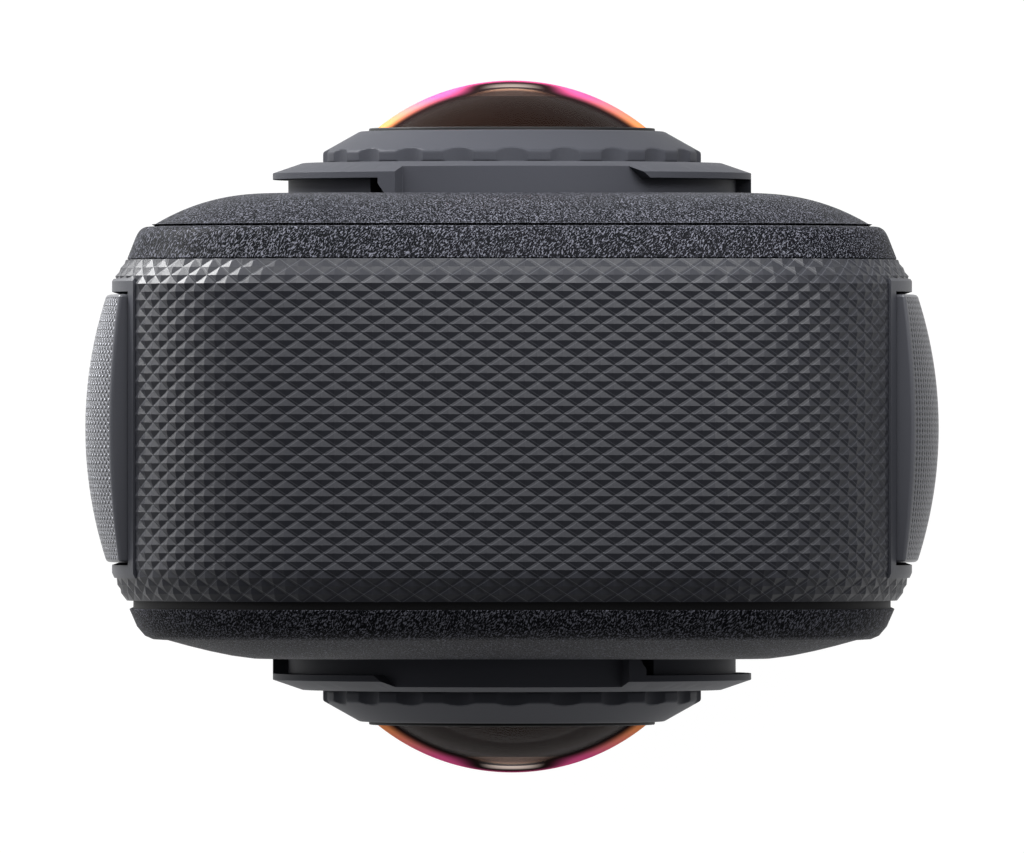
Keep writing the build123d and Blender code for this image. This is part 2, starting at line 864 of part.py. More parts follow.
def inner_lens():
    """The small convex element in the mask's seat."""
    edge_low_a = lens_seat_a - inner_lens_edge
    cap_radius = mouth_foot_radius - inner_lens_clearance
    drop = math.sqrt(inner_lens_ball_radius**2 - cap_radius**2)
    cap = ball_plug(cap_radius, inner_lens_ball_radius, lens_seat_a - drop, edge_low_a)
    return cap + tube_along_z(inner_lens_radius, edge_low_a, lens_seat_a)


def lens_barrel():
    """The fixed barrel from the sensor's board up into the mount."""
    skirt_inner = barrel_skirt_radius - barrel_skirt_wall
    barrel_inner = barrel_radius - barrel_wall
    return turned(
        (skirt_inner, sensor_foot_a),
        (barrel_skirt_radius, sensor_foot_a),
        (barrel_skirt_radius, barrel_roof_a),
        (barrel_radius, barrel_roof_a),
        (barrel_radius, ledge_a),
        (barrel_inner, ledge_a),
        (barrel_inner, barrel_roof_a - barrel_roof),
        (skirt_inner, barrel_roof_a - barrel_roof),
    )


def add_lens_sides(nodes):
    """Both lens groups: the same pieces out of the back and, turned half round, out of the front."""
    for side, place in lens_places.items():
        nodes[side + "_lens_mount"] = place * lens_mount(panel_faces_a[side])
        nodes[side + "_lens_ring"] = place * lens_ring()
        nodes[side + "_lens_dome"] = place * lens_dome()
        nodes[side + "_dome_seal"] = place * dome_seal()
        nodes[side + "_lens_cell"] = place * lens_cell()
        nodes[side + "_inner_lens"] = place * inner_lens()
        nodes[side + "_lens_barrel"] = place * lens_barrel()


def sensor_stack(width, height, foot_a, thickness):
    """Two equal blocks back to back on the plate between the lenses."""
    low = (-width / 2, -height / 2, foot_a)
    high = (width / 2, height / 2, foot_a + thickness)
    block = box_between(low, high)
    return [place * block for place in lens_places.values()]


def add_sensors(nodes):
    """The plate between the lenses, with a board and a sensor on each face."""
    half = spreader_thickness / 2
    plate = box_between((-cavity_x, -half, spreader_low_z), (cavity_x, half, corner_z))
    notch_x = cavity_x - microphone_height - spreader_gap
    notch_half = microphone_radius + spreader_gap
    notch = box_between(
        (notch_x, -body_width, microphone_z - notch_half),
        (body_width, body_width, microphone_z + notch_half),
    )
    nodes["heat_spreader"] = plate - [notch, to_left(notch)]
    nodes["sensor_boards"] = sensor_stack(
        sensor_board_size, sensor_board_size, board_foot_a, sensor_board_thickness
    )
    nodes["image_sensors"] = sensor_stack(
        sensor_width, sensor_height, sensor_foot_a, sensor_thickness
    )


def add_screen(nodes):
    """The screen's glass on the front shell, and the display in the shell's window."""
    glass_outline = RectangleRounded(glass_width, glass_height, glass_corner)
    nodes["screen_glass"] = prism_along_y(
        glass_outline, 0, glass_z, front_face_y, front_shell_face_y
    )
    display_back_y = front_shell_inner_y + display_stand
    nodes["display_module"] = prism_along_y(
        display_outline(), 0, glass_z, front_shell_face_y, display_back_y
    )
    nodes["status_light"] = bar_along_y(
        light_radius, 0, light_z, front_face_y, front_shell_inner_y
    )


def front_button(x):
    """A button below the screen, with the flange that keeps it in."""
    cap = prism_along_y(
        pill(front_key_width, front_key_height), x, front_key_z,
        front_face_y - front_key_proud, key_flange_y,
    )
    flange = prism_along_y(
        pill(front_key_width + 2 * key_flange, front_key_height + 2 * key_flange),
        x, front_key_z, front_shell_inner_y, key_flange_y,
    )
    return cap + flange


def side_button(z):
    """A button in the right side, with the flange that keeps it in."""
    cap = prism_along_x(
        pill(side_key_height, side_key_depth, upright=True), bay_y, z,
        side_flange_x, side_x + side_key_proud,
    )
    flange = prism_along_x(
        pill(side_key_height + 2 * key_flange, side_key_depth + 2 * key_flange, upright=True),
        bay_y, z, side_flange_x, cavity_x,
    )
    return cap + flange


def add_buttons(nodes):
    """The four buttons, the switch domes under them and the boards that carry the domes."""
    nodes["shutter_button"] = front_button(-front_key_x)
    nodes["mode_button"] = front_button(front_key_x)
    nodes["front_key_domes"] = [
        bar_along_y(key_dome_radius, side * front_key_x, front_key_z, key_dome_y, key_board_y)
        for side in (-1, 1)
    ]
    half_height = front_key_height / 2 + key_board_margin
    nodes["front_key_board"] = box_between(
        (-cavity_x, key_board_y, front_key_z - half_height),
        (cavity_x, key_board_y + key_board_thickness, front_key_z + half_height),
    )
    nodes["power_button"] = side_button(power_key_z)
    nodes["quick_button"] = side_button(quick_key_z)
    nodes["side_key_domes"] = [
        bar_along_x(key_dome_radius, bay_y, z, side_board_x, side_dome_x)
        for z in (power_key_z, quick_key_z)
    ]
    half_key = side_key_height / 2
    nodes["side_key_board"] = box_between(
        (side_board_x - key_board_thickness, bay_y - side_key_depth / 2, quick_key_z - half_key),
        (side_board_x, board_front_y, power_key_z + half_key),
    )


def wind_guard():
    """A crowned plate let into the right side, hollow behind for its foam."""
    edge_x = side_x + guard_edge_stand
    crown_x = side_x + guard_crown_stand
    plate = side_wrap(guard_floor_x, edge_x, crown_x, guard_half_depth, guard_low_z, guard_bend_deg)
    return plate - wind_foam()


def wind_foam():
    """The foam block behind a wind guard."""
    outline = Rectangle(foam_depth, foam_height)
    return prism_along_x(outline, guard_centre_y, microphone_z, guard_floor_x, foam_x)


def add_sound(nodes):
    """Wind guards, foam and microphones in both sides, and the speaker at the base."""
    nodes["right_wind_guard"] = wind_guard()
    nodes["left_wind_guard"] = to_left(wind_guard())
    nodes["wind_foams"] = [wind_foam(), to_left(wind_foam())]
    microphone = bar_along_x(
        microphone_radius, guard_centre_y, microphone_z, cavity_x - microphone_height, cavity_x
    )
    nodes["microphones"] = [microphone, to_left(microphone)]
    half_width = speaker_width / 2
    half_height = speaker_height / 2
    nodes["speaker"] = box_between(
        (cavity_x - speaker_depth, bay_y - half_width, speaker_z - half_height),
        (cavity_x, bay_y + half_width, speaker_z + half_height),
    )


def usb_door():
    """The charging door with its hinge barrel."""
    plate = prism_along_x(door_outline(0), bay_y, door_z, door_inner_x, side_x)
    foot_low = (door_inner_x, bay_y - door_width, hinge_z - door_height)
    foot_high = (side_x, bay_y + door_width, hinge_z)
    plate = plate - box_between(foot_low, foot_high)
    half = door_width / 2
    barrel = bar_along_y(hinge_barrel_radius, hinge_x, hinge_z, bay_y - half, bay_y + half)
    bore_radius = hinge_pin_radius + turning_clearance
    bore = bar_along_y(bore_radius, hinge_x, hinge_z, bay_y - door_width, bay_y + door_width)
    return plate + barrel - bore


def usb_socket():
    """The charging socket: a pill-shaped shell with its tongue."""
    shell = prism_along_x(
        pill(usb_width, usb_thickness, upright=True), bay_y, door_z, usb_back_x, usb_mouth_x
    )
    inner = pill(usb_width - 2 * usb_wall, usb_thickness - 2 * usb_wall, upright=True)
    cavity_back_x = usb_mouth_x - usb_cavity_depth
    cavity = prism_along_x(inner, bay_y, door_z, cavity_back_x, usb_mouth_x)
    tongue = prism_along_x(
        Rectangle(usb_tongue_thickness, usb_tongue_width), bay_y, door_z,
        usb_back_x, usb_mouth_x - usb_wall,
    )
    return shell - cavity + tongue


def add_charging(nodes):
    """The charging door, its pin and seal, and the socket on its small board."""
    nodes["usb_door"] = usb_door()
    reach = door_width / 2 + door_gap + hinge_pin_bite
    nodes["usb_door_pin"] = bar_along_y(
        hinge_pin_radius, hinge_x, hinge_z, bay_y - reach, bay_y + reach
    )
    window_z = (window_low_z + window_top_z) / 2
    nodes["usb_door_seal"] = prism_along_x(
        socket_window(door_seal_gap), bay_y, window_z,
        door_inner_x - door_seal_thickness, door_inner_x,
    )
    nodes["usb_socket"] = usb_socket()
    board_y = bay_y + usb_thickness / 2
    half_height = usb_board_height / 2
    nodes["usb_board"] = box_between(
        (usb_back_x, board_y, door_z - half_height),
        (cavity_x, board_y + usb_board_thickness, door_z + half_height),
    )


def latch_z(side):
    """A battery latch's middle height when locked: side is 1 for the upper one, -1 for the lower."""
    return bay_z + side * (bay_height / 2 - latch_margin - latch_length / 2)


def battery_latch(side):
    """A ribbed slider in the battery cap, drawn in the right side."""
    floor_x = side_x - latch_depth
    outline = RectangleRounded(latch_width, latch_length, latch_gap + latch_rib_width)
    face_x = side_x + latch_proud
    slider = prism_along_x(outline, bay_y, latch_z(side), floor_x, face_x)
    pitch = latch_length / (latch_rib_count + 1)
    for step in range(latch_rib_count):
        rib_z = latch_z(side) + pitch * (step - (latch_rib_count - 1) / 2)
        rib = Rectangle(latch_width - 2 * latch_rib_width, latch_rib_width)
        slider = slider + prism_along_x(rib, bay_y, rib_z, floor_x, face_x + latch_rib_height)
    return slider


def latch_slot(side):
    """The recess that a battery latch slides in, drawn in the right side."""
    length = latch_length + latch_travel + 2 * latch_gap
    middle_z = latch_z(side) - side * latch_travel / 2
    outline = RectangleRounded(latch_width + 2 * latch_gap, length, latch_rib_width)
    return prism_along_x(outline, bay_y, middle_z, side_x - latch_depth, side_x + cut_overrun)


def battery_bay():
    """The tray that the battery slides into, drawn as if it opened in the right side."""
    outer = box_between(
        (-bay_end_x, bay_front_y, bay_floor_z), (cavity_x, bay_rear_y, bay_top_z)
    )
    inner = prism_along_x(
        window_outline(0), bay_y, bay_z, bay_wall - bay_end_x, cavity_x + cut_overrun
    )
    return outer - inner


def battery_outline():
    """The battery pack's section."""
    return RectangleRounded(
        window_depth - 2 * battery_gap, battery_top_z - battery_low_z, battery_corner - battery_gap
    )


def card_socket():
    """The memory card's socket under the bay's roof, beside the battery."""
    roof_z = bay_top_z - bay_wall
    half = card_socket_depth / 2
    low_x = bay_wall - bay_end_x
    body = box_between(
        (low_x, bay_y - half, roof_z - card_socket_height),
        (low_x + card_socket_length, bay_y + half, roof_z),
    )
    slot_half = half - bay_wall
    slot_z = roof_z - card_socket_height / 2
    slot = box_between(
        (low_x + card_socket_length - card_slot_depth, bay_y - slot_half, slot_z - card_slot_height / 2),
        (low_x + card_socket_length, bay_y + slot_half, slot_z + card_slot_height / 2),
    )
    return body - slot


def battery_contacts():
    """Flat contacts on the bay's end wall."""
    low_x = bay_wall - bay_end_x
    first_y = bay_y - contact_pitch * (contact_count - 1) / 2
    contacts = []
    for step in range(contact_count):
        y = first_y + contact_pitch * step
        low = (low_x, y - contact_width / 2, bay_z - contact_height / 2)
        high = (low_x + contact_thickness, y + contact_width / 2, bay_z + contact_height / 2)
        contacts.append(box_between(low, high))
    return contacts


def add_battery(nodes):
    """The battery, its cap with two latches, its seal and the bay that they slide into."""
    battery_z = (battery_low_z + battery_top_z) / 2
    pack = prism_along_x(battery_outline(), bay_y, battery_z, -battery_end_x, cap_floor_x)
    cap = prism_along_x(cap_outline(0), bay_y, bay_z, cap_floor_x, side_x)
    cap = cap - [latch_slot(1), latch_slot(-1)]
    seal_low_x = cap_floor_x - cap_seal_thickness
    seal = prism_along_x(window_outline(cap_seal_width), bay_y, bay_z, seal_low_x, cap_floor_x)
    seal = seal - prism_along_x(window_outline(-battery_gap), bay_y, bay_z, seal_low_x, cap_floor_x)
    nodes["battery_pack"] = to_left(pack)
    nodes["battery_cap"] = to_left(cap)
    nodes["battery_seal"] = to_left(seal)
    nodes["upper_battery_latch"] = to_left(battery_latch(1))
    nodes["lower_battery_latch"] = to_left(battery_latch(-1))
    nodes["battery_bay"] = to_left(battery_bay())
    nodes["card_socket"] = to_left(card_socket())
    nodes["battery_contacts"] = [to_left(contact) for contact in battery_contacts()]


def add_boards(nodes):
    """The main board against the frame's walls, and the cans on its back."""
    nodes["main_board"] = box_between(
        (-cavity_x, board_front_y, bay_floor_z), (cavity_x, board_rear_y, board_top_z)
    )
    cans = []
    low_z = bay_floor_z + can_foot
    for share in can_height_shares:
        height = share * (board_top_z - bay_floor_z)
        low = (-can_width / 2, board_rear_y, low_z)
        high = (can_width / 2, frame_rear_y - can_gap, low_z + height)
        cans.append(box_between(low, high))
        low_z = low_z + height + can_spacing
    nodes["shield_cans"] = cans


def cover_screw(x, z):
    """One screw of the back cover."""
    shank = bar_along_y(screw_radius, x, z, boss_face_y - screw_bite, screw_head_y)
    head = bar_along_y(screw_head_radius, x, z, screw_head_y, rear_shell_face_y)
    return shank + head


def add_fastenings(nodes):
    """The threaded insert in the base and the screws of the back cover."""
    insert = tube_along_z(insert_radius, insert_recess, insert_top_z)
    thread = tube_along_z(tripod_thread_radius, insert_recess, insert_recess + tripod_thread_length)
    nodes["tripod_insert"] = insert - thread
    nodes["rear_screws"] = [cover_screw(side * boss_x, z) for z in boss_zs for side in (-1, 1)]


def build_camera():
    """Every piece of the camera by its node's name."""
    skin = grip_skin()
    nodes = {"grip_skin": skin, "mid_frame": mid_frame(skin)}
    nodes["rear_shell"] = rear_shell()
    nodes["rear_gasket"] = rear_gasket()
    nodes["rear_panel"] = rear_panel()
    nodes["front_gasket"] = front_gasket()
    nodes["front_shell"] = front_shell()
    nodes["front_panel"] = front_panel()
    add_lens_sides(nodes)
    add_sensors(nodes)
    add_screen(nodes)
    add_buttons(nodes)
    add_sound(nodes)
    add_charging(nodes)
    add_battery(nodes)
    add_boards(nodes)
    add_fastenings(nodes)
    return nodes


def write_parts(nodes):
    """One file for each node; a node of several equal pieces holds them as separate solids."""
    os.makedirs("parts", exist_ok=True)
    for name, shape in nodes.items():
        pieces = shape if isinstance(shape, list) else [shape]
        solids = [solid for piece in pieces for solid in piece.solids()]
        whole = solids[0] if len(solids) == 1 else Compound(solids)
        export_step(whole, "parts/" + name + ".step")


write_parts(build_camera())
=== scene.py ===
"""The looks of a slim 360 degree camera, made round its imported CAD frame.

Lengths in this file are millimetres, and each mesh is written in metres. +Z is up, +Y points out
of the back cover and -Y out of the screen side, as in the CAD model.
"""

import logging
import math
from dataclasses import dataclass, field
from enum import Enum

import bmesh
import bpy
import numpy as np
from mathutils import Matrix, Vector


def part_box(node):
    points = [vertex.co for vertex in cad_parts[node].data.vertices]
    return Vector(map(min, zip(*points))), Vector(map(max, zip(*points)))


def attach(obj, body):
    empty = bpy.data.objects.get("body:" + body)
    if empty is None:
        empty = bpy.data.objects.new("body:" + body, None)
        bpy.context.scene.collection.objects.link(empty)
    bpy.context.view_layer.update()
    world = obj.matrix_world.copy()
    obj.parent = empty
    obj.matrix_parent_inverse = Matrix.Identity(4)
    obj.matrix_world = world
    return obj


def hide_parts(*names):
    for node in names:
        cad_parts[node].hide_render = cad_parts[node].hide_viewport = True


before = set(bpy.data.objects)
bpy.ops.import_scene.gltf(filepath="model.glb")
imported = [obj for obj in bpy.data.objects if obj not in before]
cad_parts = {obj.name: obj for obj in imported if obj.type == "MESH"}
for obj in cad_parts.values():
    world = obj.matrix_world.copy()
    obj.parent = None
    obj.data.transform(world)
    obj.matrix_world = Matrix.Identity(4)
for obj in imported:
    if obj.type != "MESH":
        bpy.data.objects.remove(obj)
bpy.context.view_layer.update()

MM = 0.001
LENS_Z = 102.0
LOG = logging.getLogger("camera_looks")
Array = np.ndarray


class Body(Enum):
    """The bodies that pieces ride on."""

    HOUSING = "housing"
    REAR_LENS = "rear_lens_unit"
    FRONT_LENS = "front_lens_unit"
    SHUTTER = "shutter_button"
    MODE = "mode_button"
    POWER = "power_button"
    QUICK = "quick_button"
    DOOR = "usb_door"
    BATTERY = "battery"
    UPPER_LATCH = "upper_latch"
    LOWER_LATCH = "lower_latch"


class Side(Enum):
    """The two lens sides: the value is the direction along Y in which the lens looks."""

    REAR = 1
    FRONT = -1

    @property
    def label(self) -> str:
        """The word that starts this side's node names."""
        return self.name.lower()

    @property
    def body(self) -> Body:
        """The body that this side's lens turns with."""
        return Body.REAR_LENS if self is Side.REAR else Body.FRONT_LENS


# Nodes and materials


def linear(code: str) -> tuple[float, ...]:
    """Turns an sRGB hex colour to linear light, by the standard's own curve.

    Args:
        code: a colour such as "#3a3b3f".

    Returns:
        Red, green, blue and an alpha of one.
    """
    parts = [int(code[place : place + 2], 16) / 255 for place in (1, 3, 5)]
    curve = [c / 12.92 if c <= 0.04045 else ((c + 0.055) / 1.055) ** 2.4 for c in parts]
    return (*curve, 1.0)


def fill(tree: bpy.types.NodeTree, node: bpy.types.Node, inputs: dict) -> None:
    """Gives a node's inputs their values and links.

    Args:
        tree: the node tree.
        node: the node.
        inputs: for an input's name or number, a value, a socket, or a node, which stands for
            its first output in use.
    """
    for key, value in inputs.items():
        if isinstance(value, bpy.types.Node):
            value = next(socket for socket in value.outputs if socket.enabled)
        if isinstance(value, bpy.types.NodeSocket):
            tree.links.new(value, node.inputs[key])
        else:
            node.inputs[key].default_value = value


def add(
    tree: bpy.types.NodeTree, kind: str, inputs: dict | None = None, **settings: object
) -> bpy.types.Node:
    """Adds a node with its settings, input values and links.

    Args:
        tree: the node tree.
        kind: the node's type, without the word ShaderNode that starts each one.
        inputs: what fills its inputs.
        **settings: the node's own properties.

    Returns:
        The node.
    """
    node = tree.nodes.new("ShaderNode" + kind)
    for name, value in settings.items():
        setattr(node, name, value)
    fill(tree, node, inputs or {})
    return node


def bare_material(name: str) -> bpy.types.Material:
    """Starts a material.

    Args:
        name: its name.

    Returns:
        The material, with an empty node tree.
    """
    material = bpy.data.materials.new(name)
    material.use_nodes = True
    material.node_tree.nodes.clear()
    return material


def at_pitch(tree: bpy.types.NodeTree, pitch: float) -> bpy.types.Node:
    """Coordinates on the object in which one unit is a pattern's pitch.

    Args:
        tree: the node tree.
        pitch: the pattern's pitch.

    Returns:
        A Mapping node.
    """
    scale = 1 / (pitch * MM)
    place = add(tree, "TexCoord").outputs["Object"]
    return add(tree, "Mapping", {"Vector": place, "Scale": (scale, scale, scale)})


def roughen(
    tree: bpy.types.NodeTree, shader: bpy.types.Node, texture: str, pitch: float, depth: float
) -> None:
    """Breaks up a surface's shine with fine marks, most of them too small to see one by one.

    Args:
        tree: the node tree.
        shader: the surface's shader.
        texture: the marks' texture: "TexNoise" for pits and "TexVoronoi" for round cells.
        pitch: how far apart the marks lie.
        depth: how deep they are.
    """
    marks = add(tree, texture, {"Vector": at_pitch(tree, pitch), "Scale": 1.0})
    bump = add(tree, "Bump", {"Height": marks, "Distance": depth * MM, "Strength": 1.0})
    fill(tree, shader, {"Normal": bump})


@dataclass(frozen=True)
class Finish:
    """A plain moulded or coated surface, the start of every other finish.

    Its colour and gloss vary by a small share, in patches some millimetres apart.
    """

    name: str
    slot: str
    colour: str
    roughness: float
    specular: float = field(default=0.5, kw_only=True)
    patch: float = field(default=6.0, kw_only=True)
    variation: float = field(default=0.05, kw_only=True)

    def build(self) -> bpy.types.Material:
        """Makes the material once.

        Returns:
            The material.
        """
        made = bpy.data.materials.get(self.name)
        if made:
            return made
        material = bare_material(self.name)
        tree = material.node_tree
        shader = add(
            tree, "BsdfPrincipled",
            {
                "Base Color": linear(self.colour),
                "Roughness": self.roughness,
                "Specular IOR Level": self.specular,
            },
        )
        add(tree, "OutputMaterial", {"Surface": shader})
        self.dress(tree, shader)
        return material

    def dress(self, tree: bpy.types.NodeTree, shader: bpy.types.Node) -> None:
        """Adds the surface's own detail. A plain finish has only its patches.

        Args:
            tree: the material's node tree.
            shader: its shader.
        """
        self.mottle(tree, shader)

    def mottle(self, tree: bpy.types.NodeTree, shader: bpy.types.Node) -> None:
        """Varies the colour and gloss over the area, as handling and moulding do.

        Args:
            tree: the material's node tree.
            shader: its shader.
        """
        noise = add(
            tree, "TexNoise", {"Vector": at_pitch(tree, self.patch), "Scale": 1.0, "Detail": 4.0}
        )
        less, more = 1 - self.variation, 1 + self.variation
        dark, light = (
            (*[part * share for part in linear(self.colour)[:3]], 1.0) for share in (less, more)
        )
        tint = add(tree, "Mix", {"Factor": noise, "A": dark, "B": light}, data_type="RGBA")
        gloss = add(
            tree, "MapRange",
            {"Value": noise, "To Min": self.roughness * more, "To Max": self.roughness * less},
        )
        fill(tree, shader, {"Base Color": tint, "Roughness": gloss})


@dataclass(frozen=True)
class SatinMoulding(Finish):
    """Plastic from a spark-eroded mould: a dull sheen broken by very fine pits."""

    grain: float = 0.16
    depth: float = 0.006
    patch: float = field(default=7.0, kw_only=True)
    variation: float = field(default=0.06, kw_only=True)

    def dress(self, tree: bpy.types.NodeTree, shader: bpy.types.Node) -> None:
        """Adds faint mottling and the fine pits.

        Args:
            tree: the material's node tree.
            shader: its shader.
        """
        self.mottle(tree, shader)
        roughen(tree, shader, "TexNoise", self.grain, self.depth)


@dataclass(frozen=True)
class LeatherGrain(Finish):
    """Plastic from an etched mould: short worm-like wrinkles whose tops carry a lighter painted
    highlight over the land between them.

    The stretch says how much longer or shorter a wrinkle is along each axis than its pitch.
    """

    wrinkle: float = 0.09
    flow: float = 2.6
    bend: float = 8.0
    lean_deg: float = 58.0
    stretch: tuple[float, float, float] = (1.9, 0.8, 1.0)
    distortion: float = 0.5
    land_until: float = 0.49
    top_from: float = 0.64
    depth: float = 0.045
    top_highlight_colour: str = "#55565e"

    def dress(self, tree: bpy.types.NodeTree, shader: bpy.types.Node) -> None:
        """Adds the wrinkles. A slow noise bends the fine noise's coordinates, so they run in
        changing directions, and their tops carry a lighter painted highlight.

        Args:
            tree: the material's node tree.
            shader: its shader.
        """
        slow = add(
            tree, "TexNoise", {"Vector": at_pitch(tree, self.flow), "Scale": 1.0, "Detail": 1.0}
        )
        bend = add(
            tree, "VectorMath", {0: slow.outputs["Color"], 1: (self.bend,) * 3},
            operation="MULTIPLY",
        )
        place = add(
            tree, "VectorMath", {0: at_pitch(tree, self.wrinkle), 1: bend}, operation="ADD"
        )
        lean = (0, 0, math.radians(self.lean_deg))
        squeezed = add(
            tree, "Mapping", {"Vector": place, "Rotation": lean, "Scale": self.stretch},
            vector_type="TEXTURE",
        )
        fine = add(
            tree, "TexNoise",
            {"Vector": squeezed, "Scale": 1.0, "Detail": 1.0, "Distortion": self.distortion},
        )
        ridge = add(
            tree, "MapRange",
            {"Value": fine, "From Min": self.land_until, "From Max": self.top_from},
            interpolation_type="SMOOTHSTEP",
        )
        # Painted highlight: the wrinkles' tops are lighter in colour
        tint = add(
            tree, "Mix", {"Factor": ridge, "A": linear(self.colour), "B": linear(self.top_highlight_colour)},
            data_type="RGBA",
        )
        bump = add(tree, "Bump", {"Height": ridge, "Distance": self.depth * MM, "Strength": 1.0})
        fill(tree, shader, {"Base Color": tint, "Normal": bump})


@dataclass(frozen=True)
class PyramidGrip(Finish):
    """Soft-touch moulding: matt pyramids whose outlines carry a thin, lighter painted highlight.
    """

    outline_highlight_colour: str = "#45464b"
    outline_highlight_share: float = 0.055
    grain: float = 0.12
    depth: float = 0.004

    def dress(self, tree: bpy.types.NodeTree, shader: bpy.types.Node) -> None:
        """Adds a painted highlight along the outlines, and fine pits. The map gives one unit for
        each rhombus, so the outlines lie where the two folded coordinates add up to a half.

        Args:
            tree: the material's node tree.
            shader: its shader.
        """
        place = add(tree, "TexCoord").outputs["UV"]
        parts = add(tree, "SeparateXYZ", {"Vector": place})
        folded = [
            add(tree, "Math", {0: parts.outputs[axis], 1: 0.5}, operation="PINGPONG")
            for axis in ("X", "Y")
        ]
        total = add(tree, "Math", {0: folded[0], 1: folded[1]}, operation="ADD")
        offset = add(tree, "Math", {0: total, 1: 0.5}, operation="SUBTRACT")
        away = add(tree, "Math", {0: offset}, operation="ABSOLUTE")
        outline_highlight = add(
            tree, "MapRange",
            {
                "Value": away, "From Min": 0.0, "From Max": self.outline_highlight_share / 2,
                "To Min": 1.0, "To Max": 0.0,
            },
            interpolation_type="SMOOTHSTEP",
        )
        # Painted highlight: the base colour is lighter along the rhombus outlines
        tint = add(
            tree, "Mix",
            {"Factor": outline_highlight, "A": linear(self.colour), "B": linear(self.outline_highlight_colour)},
            data_type="RGBA",
        )
        fill(tree, shader, {"Base Color": tint})
        roughen(tree, shader, "TexNoise", self.grain, self.depth)


@dataclass(frozen=True)
class SatinMetal(Finish):
    """Turned metal, bead blasted and dyed: a soft, slightly grainy shine."""

    grain: float = 0.10
    depth: float = 0.003
    metallic: float = field(default=1.0, kw_only=True)
    patch: float = field(default=9.0, kw_only=True)
    variation: float = field(default=0.04, kw_only=True)

    def dress(self, tree: bpy.types.NodeTree, shader: bpy.types.Node) -> None:
        """Adds faint mottling and the blasting's bead marks.

        Args:
            tree: the material's node tree.
            shader: its shader.
        """
        fill(tree, shader, {"Metallic": self.metallic})
        self.mottle(tree, shader)
        roughen(tree, shader, "TexVoronoi", self.grain, self.depth)


@dataclass(frozen=True)
class CoatedGlass(Finish):
    """Coated lens glass. It is clear where one looks straight in. Towards its outline a painted
    reflection, the coating's coloured shine, takes over in the base colour, and that colour
    changes with the distance from the lens axis.

    The distances are shares of the glass's own radius, which is its reach. clear_until,
    tinted_from and bright_from are values of one less the cosine of the angle of view: 0 where
    one looks straight in, and 1 along the surface.
    """

    middle_reflection_tint: str
    rim_reflection_tint: str
    shade_tint: str = "#1c1313"
    reach: float = 7.3
    middle_until: float = 0.62
    rim_from: float = 0.97
    clear_until: float = 0.62
    tinted_from: float = 0.70
    bright_from: float = 0.83
    clear: float = 1.0
    thinning: float = 0.15
    thin_until: float = 0.30
    full_from: float = 0.62
    glass_ior: float = 1.5
    mirror_ior: float = 1.10

    def away_from_axis(self, tree: bpy.types.NodeTree) -> bpy.types.Node:
        """Measures the distance from the lens axis.

        Args:
            tree: the material's node tree.

        Returns:
            A node with the distance as a share of the glass's own radius.
        """
        place = add(tree, "TexCoord").outputs["Object"]
        moved = add(tree, "Mapping", {"Vector": place, "Location": (0, 0, -LENS_Z * MM)})
        flat = add(tree, "VectorMath", {0: moved, 1: (1, 0, 1)}, operation="MULTIPLY")
        away = add(tree, "VectorMath", {0: flat}, operation="LENGTH")
        return add(tree, "MapRange", {"Value": away, "From Min": 0.0, "From Max": self.reach * MM})

    def dress(self, tree: bpy.types.NodeTree, shader: bpy.types.Node) -> None:
        """Adds a painted reflection in the base colour, over the dark shade tint, and clear glass
        in front. Its colour is set by the distance from the axis and its strength by the angle.
        Near the lens axis the angle is lessened, so there the painted reflection starts only at a
        flatter angle. The glass's inner faces are left clear, so that the coating shows once.

        Args:
            tree: the material's node tree.
            shader: its shader.
        """
        share = self.away_from_axis(tree)
        # The painted reflection's colours, by distance from the lens axis
        ramp = add(tree, "ValToRGB", {"Fac": share})
        first, last = ramp.color_ramp.elements
        first.position, first.color = self.middle_until, linear(self.middle_reflection_tint)
        last.position, last.color = self.rim_from, linear(self.rim_reflection_tint)
        angle = add(tree, "LayerWeight", {"Blend": 0.5}).outputs["Facing"]
        less = add(
            tree, "MapRange",
            {
                "Value": share, "From Min": self.thin_until, "From Max": self.full_from,
                "To Min": self.thinning, "To Max": 0.0,
            },
            interpolation_type="SMOOTHSTEP",
        )
        turned = add(tree, "Math", {0: angle, 1: less}, operation="SUBTRACT")
        painted_reflection = add(
            tree, "MapRange",
            {"Value": turned, "From Min": self.tinted_from, "From Max": self.bright_from},
            interpolation_type="SMOOTHSTEP",
        )
        # Painted reflection: the base colour turns from the shade tint to the ramp's colour at
        # flat angles of view
        tint = add(
            tree, "Mix", {"Factor": painted_reflection, "A": linear(self.shade_tint), "B": ramp},
            data_type="RGBA",
        )
        fill(tree, shader, {"IOR": self.glass_ior, "Base Color": tint})
        cover = add(
            tree, "MapRange",
            {
                "Value": turned, "From Min": self.clear_until, "From Max": self.tinted_from,
                "To Min": 1.0 - self.clear, "To Max": 1.0,
            },
            interpolation_type="SMOOTHSTEP",
        )
        through = add(tree, "BsdfTransparent", {"Color": linear(self.colour)})
        shine = add(tree, "BsdfGlossy", {"Color": (1, 1, 1, 1), "Roughness": self.roughness})
        mirror = add(tree, "Fresnel", {"IOR": self.mirror_ior})
        front = add(tree, "MixShader", {0: mirror, 1: through, 2: shine})
        outside = add(tree, "MixShader", {0: cover, 1: front, 2: shader})
        inward = add(tree, "NewGeometry").outputs["Backfacing"]
        whole = add(tree, "MixShader", {0: inward, 1: outside, 2: through})
        output = next(node for node in tree.nodes if node.type == "OUTPUT_MATERIAL")
        fill(tree, output, {"Surface": whole})


